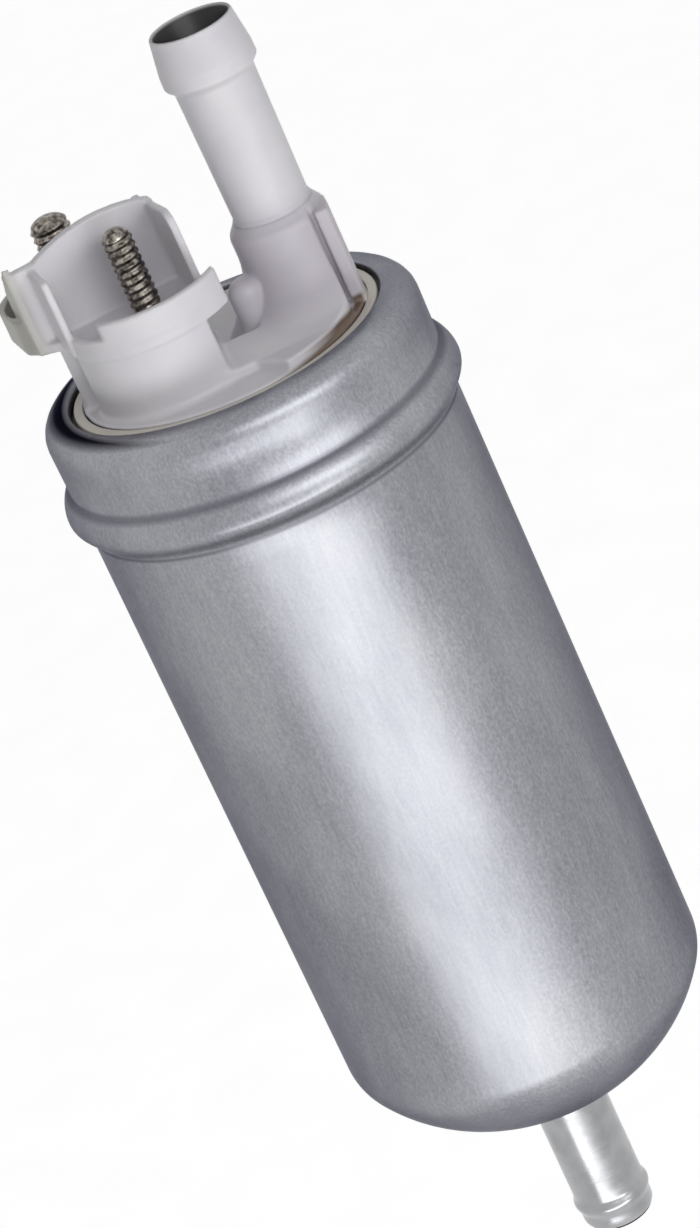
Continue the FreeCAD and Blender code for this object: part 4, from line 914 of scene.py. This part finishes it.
def terminal_block(x, y, z):
    dx = x - BLOCK_PLACE[0]
    dy = y - BLOCK_PLACE[1]
    u = dx * math.cos(BLOCK_TURN) + dy * math.sin(BLOCK_TURN)
    v = dy * math.cos(BLOCK_TURN) - dx * math.sin(BLOCK_TURN)
    places = (TOWER_ALONG, -TOWER_ASIDE), (-TOWER_ALONG, TOWER_ASIDE)
    near, far = [upright(u, v, z, place, TOWER_RADIUS, CAP_LOW, TOWER_TOP + TOWER_OVERLAP)
                 for place in places]
    towers = soft_union(near, far, SOFT)
    limit = np.hypot(x, y) - PLATEAU_RADIUS
    towers = soft_common(towers, limit, 0.3)
    towers = soft_common(towers, np.abs(dx) - TOWER_SIDE, 0.4)
    form = soft_union(towers, pocket(u, v, z, *NEAR_POCKET), 0.15)
    form = soft_union(form, pocket(-u, -v, z, *FAR_POCKET), 0.15)
    return soft_union(form, divider(u, v, z), SOFT)


# %% [markdown]
# ### Nozzle boss, fin, dome and plateau
# The boss carries the nozzle and holds the check valve's chamber. Its foot flares into a low
# sloping step, a fin stiffens it on its right, and a small domed boss stands beside it, where
# the mould was filled. A sleeve keeps the chamber's wall whole where the foot is cut off.

# %% Boss side of the cap
BOSS_RADIUS = 4.85
CHAMBER_RADIUS = 3.55
CHAMBER_WALL = 0.85
WAY_RADIUS = 1.7
VALVE_SEAT = 87.95
FIN_SIDE = 14.45
FIN_WALL = 1.65
FIN_SPAN = (-4.4, 0.0)
FIN_DROP = 0.9
FIN_RADIUS = 14.75
GROOVE_SIDE = 12.35
GROOVE_SPAN = (-9.0, -3.2)
GROOVE_LIFT = 0.6
FOOT_SIDE = 12.9
FOOT_BLEND = 1.6
DOME_PLACE = (4.15, -2.2)
DOME_RADIUS = 1.8
DOME_TOP = 92.4
APRON_RADIUS = 14.0
BEVEL_HEIGHT = 1.2
BEVEL_WIDTH = 0.9
BEVEL_REACH = 4
FOOT_FLARE = 5.0
FOOT_TOP = 92.0
FOOT_INSET = 0.6
APRON_LOW = 87.0
APRON_HIGH = 95.0
APRON_RISE = 0.24
APRON_LENGTH = 5.5
APRON_NEAR = -9.75
APRON_FAR = -4.7
APRON_SPAN = (-1.0, 11.0)
SLANT_WAY = (-0.8, -0.6)
SLANT_PLACE = (2.2, -9.7)


def apron(x, y, z):
    # The low step in front of the boss, which climbs away from the cap's edge
    middle = slab(x, y, z, APRON_SPAN, (APRON_NEAR, APRON_FAR), (CAP_LOW, APRON_HIGH), 0.3)
    slant = SLANT_WAY[0] * (x - SLANT_PLACE[0]) + SLANT_WAY[1] * (y - SLANT_PLACE[1])
    right = soft_common(slant, y - APRON_FAR, 0.3)
    top = z - APRON_LOW - APRON_RISE * np.clip(y - APRON_NEAR, 0, APRON_LENGTH)
    form = soft_common(soft_union(middle, right, 0.3), top, 0.3)
    form = np.maximum(form, CAP_LOW - z)
    return soft_common(form, np.hypot(x, y) - APRON_RADIUS, 0.3)


def boss(x, y, z):
    body = upright(x, y, z, NOZZLE_PLACE, BOSS_RADIUS, CAP_LOW, BOSS_TOP, 0.2)
    # The bevel at the boss's top is part of a cone that is wider than the boss below
    bevel = cone(x, y, z, NOZZLE_PLACE,
                 BOSS_TOP - (BEVEL_REACH + 1) * BEVEL_HEIGHT, BOSS_TOP + 0.2,
                 BOSS_RADIUS + BEVEL_REACH * BEVEL_WIDTH, BOSS_RADIUS - BEVEL_WIDTH - 0.15)
    body = soft_common(body, bevel, 0.25)
    foot = cone(x, y, z, NOZZLE_PLACE, CAP_LOW, FOOT_TOP, BOSS_RADIUS + FOOT_FLARE,
                BOSS_RADIUS - FOOT_INSET)
    foot = soft_common(foot, np.hypot(x, y) - APRON_RADIUS, 0.3)
    foot = soft_common(foot, x - FOOT_SIDE, 0.3)
    form = soft_union(body, foot, FOOT_BLEND)
    form = soft_union(form, apron(x, y, z), 0.6)
    sleeve = upright(x, y, z, NOZZLE_PLACE, CHAMBER_RADIUS + CHAMBER_WALL, CAP_LOW, FOOT_TOP, 0.2)
    form = soft_union(form, sleeve, 0.3)
    # A groove parts the boss and its foot from the fin
    groove = slab(x, y, z, (GROOVE_SIDE, FIN_SIDE + 3.0), GROOVE_SPAN,
                  (CAP_LOW + GROOVE_LIFT, BOSS_TOP + 2), 0.2)
    form = soft_cut(form, groove, 0.4)
    fin = slab(x, y, z, (FIN_SIDE - FIN_WALL, FIN_SIDE), FIN_SPAN,
               (CAP_LOW, BOSS_TOP - FIN_DROP), 0.25)
    fin = soft_common(fin, np.hypot(x, y) - FIN_RADIUS, 0.2)
    form = soft_union(form, fin, 0.12)
    dome = upright(x, y, z, DOME_PLACE, DOME_RADIUS, CAP_LOW, DOME_TOP, 1.5)
    form = soft_union(form, dome, 0.4)
    # The check valve's chamber, and the way up to it through the valve's seat
    for radius, low, high in ((CHAMBER_RADIUS, VALVE_SEAT, BOSS_TOP + BEYOND),
                              (WAY_RADIUS, CAP_LOW - BEYOND, BOSS_TOP)):
        way = upright(x, y, z, NOZZLE_PLACE, radius, low, high, 0.1)
        form = soft_cut(form, way, 0.1)
    return form


def cap_distance(x, y, z):
    plateau = upright(x, y, z, (0, 0), PLATEAU_RADIUS, CAP_LOW, PLATEAU_TOP, 0.3)
    form = soft_union(plateau, boss(x, y, z), 0.4)
    return soft_union(form, terminal_block(x, y, z), 0.8)


# %% [markdown]
# ### The skin
# A remesh of joined solids would eat the thin lips and flanges, so the skin is laid directly.
# The space is cut into small cubes. A cube that the skin passes through gets one point, at the
# mean of the places where the skin crosses its edges, and each crossed edge gets a face
# between its four cubes. The points are then moved along the slope of the distance until they
# lie on the skin, so the cubes leave no steps.

# %% Lay a skin where the distance is zero
CELL = 0.21
SKIN_LOW = (-19.0, -15.0, 84.0)
SKIN_HIGH = (15.6, 16.4, 103.2)
SETTLING_STEPS = 3
SLOPE_NUDGE = 0.02
LEAST_SLOPE = 0.3
MOST_STEP = 0.1


def skin(distance):
    axes = [np.arange(low, high + CELL, CELL) for low, high in zip(SKIN_LOW, SKIN_HIGH)]
    values = distance(*np.meshgrid(*axes, indexing="ij")).astype(np.float32)
    size = np.array(values.shape) - 1
    total = np.zeros((*size, 3), np.float32)
    count = np.zeros(size, np.int32)
    crossings = []
    for axis in range(3):
        first = [slice(None)] * 3
        second = [slice(None)] * 3
        first[axis] = slice(0, -1)
        second[axis] = slice(1, None)
        a, b = values[tuple(first)], values[tuple(second)]
        crossed = np.argwhere((a < 0) != (b < 0))
        picked = tuple(crossed.T)
        spot = crossed.astype(np.float32)
        spot[:, axis] += a[picked] / (a[picked] - b[picked])
        others = [i for i in range(3) if i != axis]
        for back_a in (0, 1):
            for back_b in (0, 1):
                cube = crossed.copy()
                cube[:, others[0]] -= back_a
                cube[:, others[1]] -= back_b
                keep = np.all((cube >= 0) & (cube < size), axis=1)
                where = tuple(cube[keep].T)
                np.add.at(total, where, spot[keep])
                np.add.at(count, where, 1)
        whole = np.all(crossed[:, others] > 0, axis=1) & np.all(
            crossed[:, others] < size[others], axis=1)
        crossings.append((axis, others, crossed[whole], (a[picked] < 0)[whole]))
    used = count > 0
    numbers = np.full(size, -1, np.int64)
    numbers[used] = np.arange(used.sum())
    points = total[used] / count[used][:, None] * CELL + np.array(SKIN_LOW, np.float32)
    faces = []
    for axis, others, crossed, outward in crossings:
        ring = []
        for back_a, back_b in ((0, 0), (1, 0), (1, 1), (0, 1)):
            cube = crossed.copy()
            cube[:, others[0]] -= back_a
            cube[:, others[1]] -= back_b
            ring.append(numbers[tuple(cube.T)])
        quads = np.stack(ring, axis=1)
        flip = outward if axis != 1 else ~outward
        quads[flip] = quads[flip][:, ::-1]
        faces.append(quads)
    points = points.astype(np.float64)
    for _ in range(SETTLING_STEPS):
        points -= step_to_skin(distance, points)
    return points, np.concatenate(faces)


def step_to_skin(distance, points):
    here = distance(*points.T)
    slope = np.empty_like(points)
    for axis in range(3):
        moved = points.copy()
        moved[:, axis] += SLOPE_NUDGE
        slope[:, axis] = (distance(*moved.T) - here) / SLOPE_NUDGE
    length = np.maximum((slope ** 2).sum(axis=1), LEAST_SLOPE)
    step = here[:, None] * slope / length[:, None]
    return np.clip(step, -MOST_STEP, MOST_STEP)


def skin_mesh(name, distance, slot):
    points, faces = skin(distance)
    points[:, 2] += CAN_BOTTOM
    mesh = bpy.data.meshes.new(name)
    mesh.from_pydata((points * MM).tolist(), [], faces.tolist())
    work = bmesh.new()
    work.from_mesh(mesh)
    bmesh.ops.recalc_face_normals(work, faces=work.faces)
    work.to_mesh(mesh)
    work.free()
    mesh.materials.append(FINISHES[slot])
    mesh.shade_smooth()
    return mesh


finished_piece("cap_top", skin_mesh("cap_top", cap_distance, "cap_plastic"),
               "pump_body", ["end_cap"])

# %% [markdown]
# ### The cap's shoulder
# Round the plateau the cap has a flat ring that ends just inside the crimped rim. Under it is
# the flange that the rim holds, and the spigot with the seat of the seal. It is round all
# over, so the lathe gives it truer edges than the skin would.

# %% Cap shoulder
def shoulder_outline():
    return rounded_outline([
        (14.0, 85.0, 0.0), (14.0, 83.0, 0.2), (15.4, 83.0, 0.0), (15.4, 74.3, 0.2),
        (16.8, 74.3, 0.2), (16.8, 79.6, 0.0), (18.05, 79.6, 0.2), (18.05, 84.6, 1.2),
        (15.62, 84.6, 0.0), (15.62, 86.0, 0.2), (14.62, 86.0, 0.2), (14.45, 85.2, 0.0)])


finished_piece("cap_shoulder", turned_mesh("cap_shoulder", shoulder_outline(), "cap_plastic",
                                           **{"Steps round": 256}),
               "pump_body", ["end_cap"])

# %% [markdown]
# ## Light and surroundings
# The photograph was taken on white in soft light from the front. The world gives an even
# level, a wide low panel gives the pale band on the can, and two smaller panels above light
# the cap and the collar. The white comes from the floor's own colour and from what the camera
# sees of the world, and not from more light on the pump.

# %% Lamps
def lamp(name, place, target, size, power, roll=0.0):
    data = bpy.data.lights.new(name, "AREA")
    data.shape = "RECTANGLE"
    data.size, data.size_y = size
    data.energy = power
    light = bpy.data.objects.new(name, data)
    light.location = place
    way = Vector(target) - Vector(place)
    light.rotation_mode = "QUATERNION"
    light.rotation_quaternion = (way.to_track_quat("-Z", "Y")
                                 @ Quaternion((0, 0, 1), math.radians(roll)))
    scene.collection.objects.link(light)


lamp("low_panel", (-0.02, -0.6, -0.26), (0, 0, 0.0), (0.9, 0.2), 2.3, roll=16.0)
lamp("key_panel", (0.34, -0.5, 0.24), (0, 0, 0.04), (0.25, 0.25), 0.8)
lamp("front_panel", (0.06, -0.6, 0.3), (0, 0, 0.04), (0.3, 0.2), 0.9)


# %% World and floor
WORLD_LEVEL = 0.32
FLOOR_GLOW = 0.65
FLOOR_REACH = 3.0
FLOOR_HEIGHT = -0.6


def make_world():
    world = bpy.data.worlds.new("studio")
    scene.world = world
    world.use_nodes = True
    tree = world.node_tree
    tree.nodes.clear()
    path = add_node(tree, "ShaderNodeLightPath")
    seen = maths(tree, "MAXIMUM", path.outputs["Is Camera Ray"],
                 path.outputs["Is Transmission Ray"])
    seen = maths(tree, "MAXIMUM", seen, path.outputs["Is Glossy Ray"])
    level = add_node(tree, "ShaderNodeMapRange", Value=seen, To_Min=WORLD_LEVEL, To_Max=1.0)
    ground = add_node(tree, "ShaderNodeBackground", Color=(1, 1, 1, 1),
                      Strength=level.outputs[0])
    add_node(tree, "ShaderNodeOutputWorld", Surface=ground.outputs[0])


def make_floor():
    mesh = bpy.data.meshes.new("floor")
    corners = ((-1, -1), (1, -1), (1, 1), (-1, 1))
    mesh.from_pydata([(x * FLOOR_REACH, y * FLOOR_REACH, FLOOR_HEIGHT) for x, y in corners],
                     [], [(0, 1, 2, 3)])
    floor = bpy.data.objects.new("floor", mesh)
    scene.collection.objects.link(floor)
    material, tree, where, shader = new_finish("floor_paper", Roughness=0.9)
    base = ramp(tree, noise(tree, where, 30.0, 2.0), [(0.4, "#F4F4F4"), (0.6, "#F8F8F8")])
    path = add_node(tree, "ShaderNodeLightPath")
    seen = maths(tree, "MAXIMUM", path.outputs["Is Camera Ray"], path.outputs["Is Glossy Ray"])
    glow = maths(tree, "MULTIPLY", seen, FLOOR_GLOW)
    connect(tree, shader, Base_Color=base, Emission_Strength=glow)
    shader.inputs["Emission Color"].default_value = (1, 1, 1, 1)
    mesh.materials.append(material)


make_world()
make_floor()
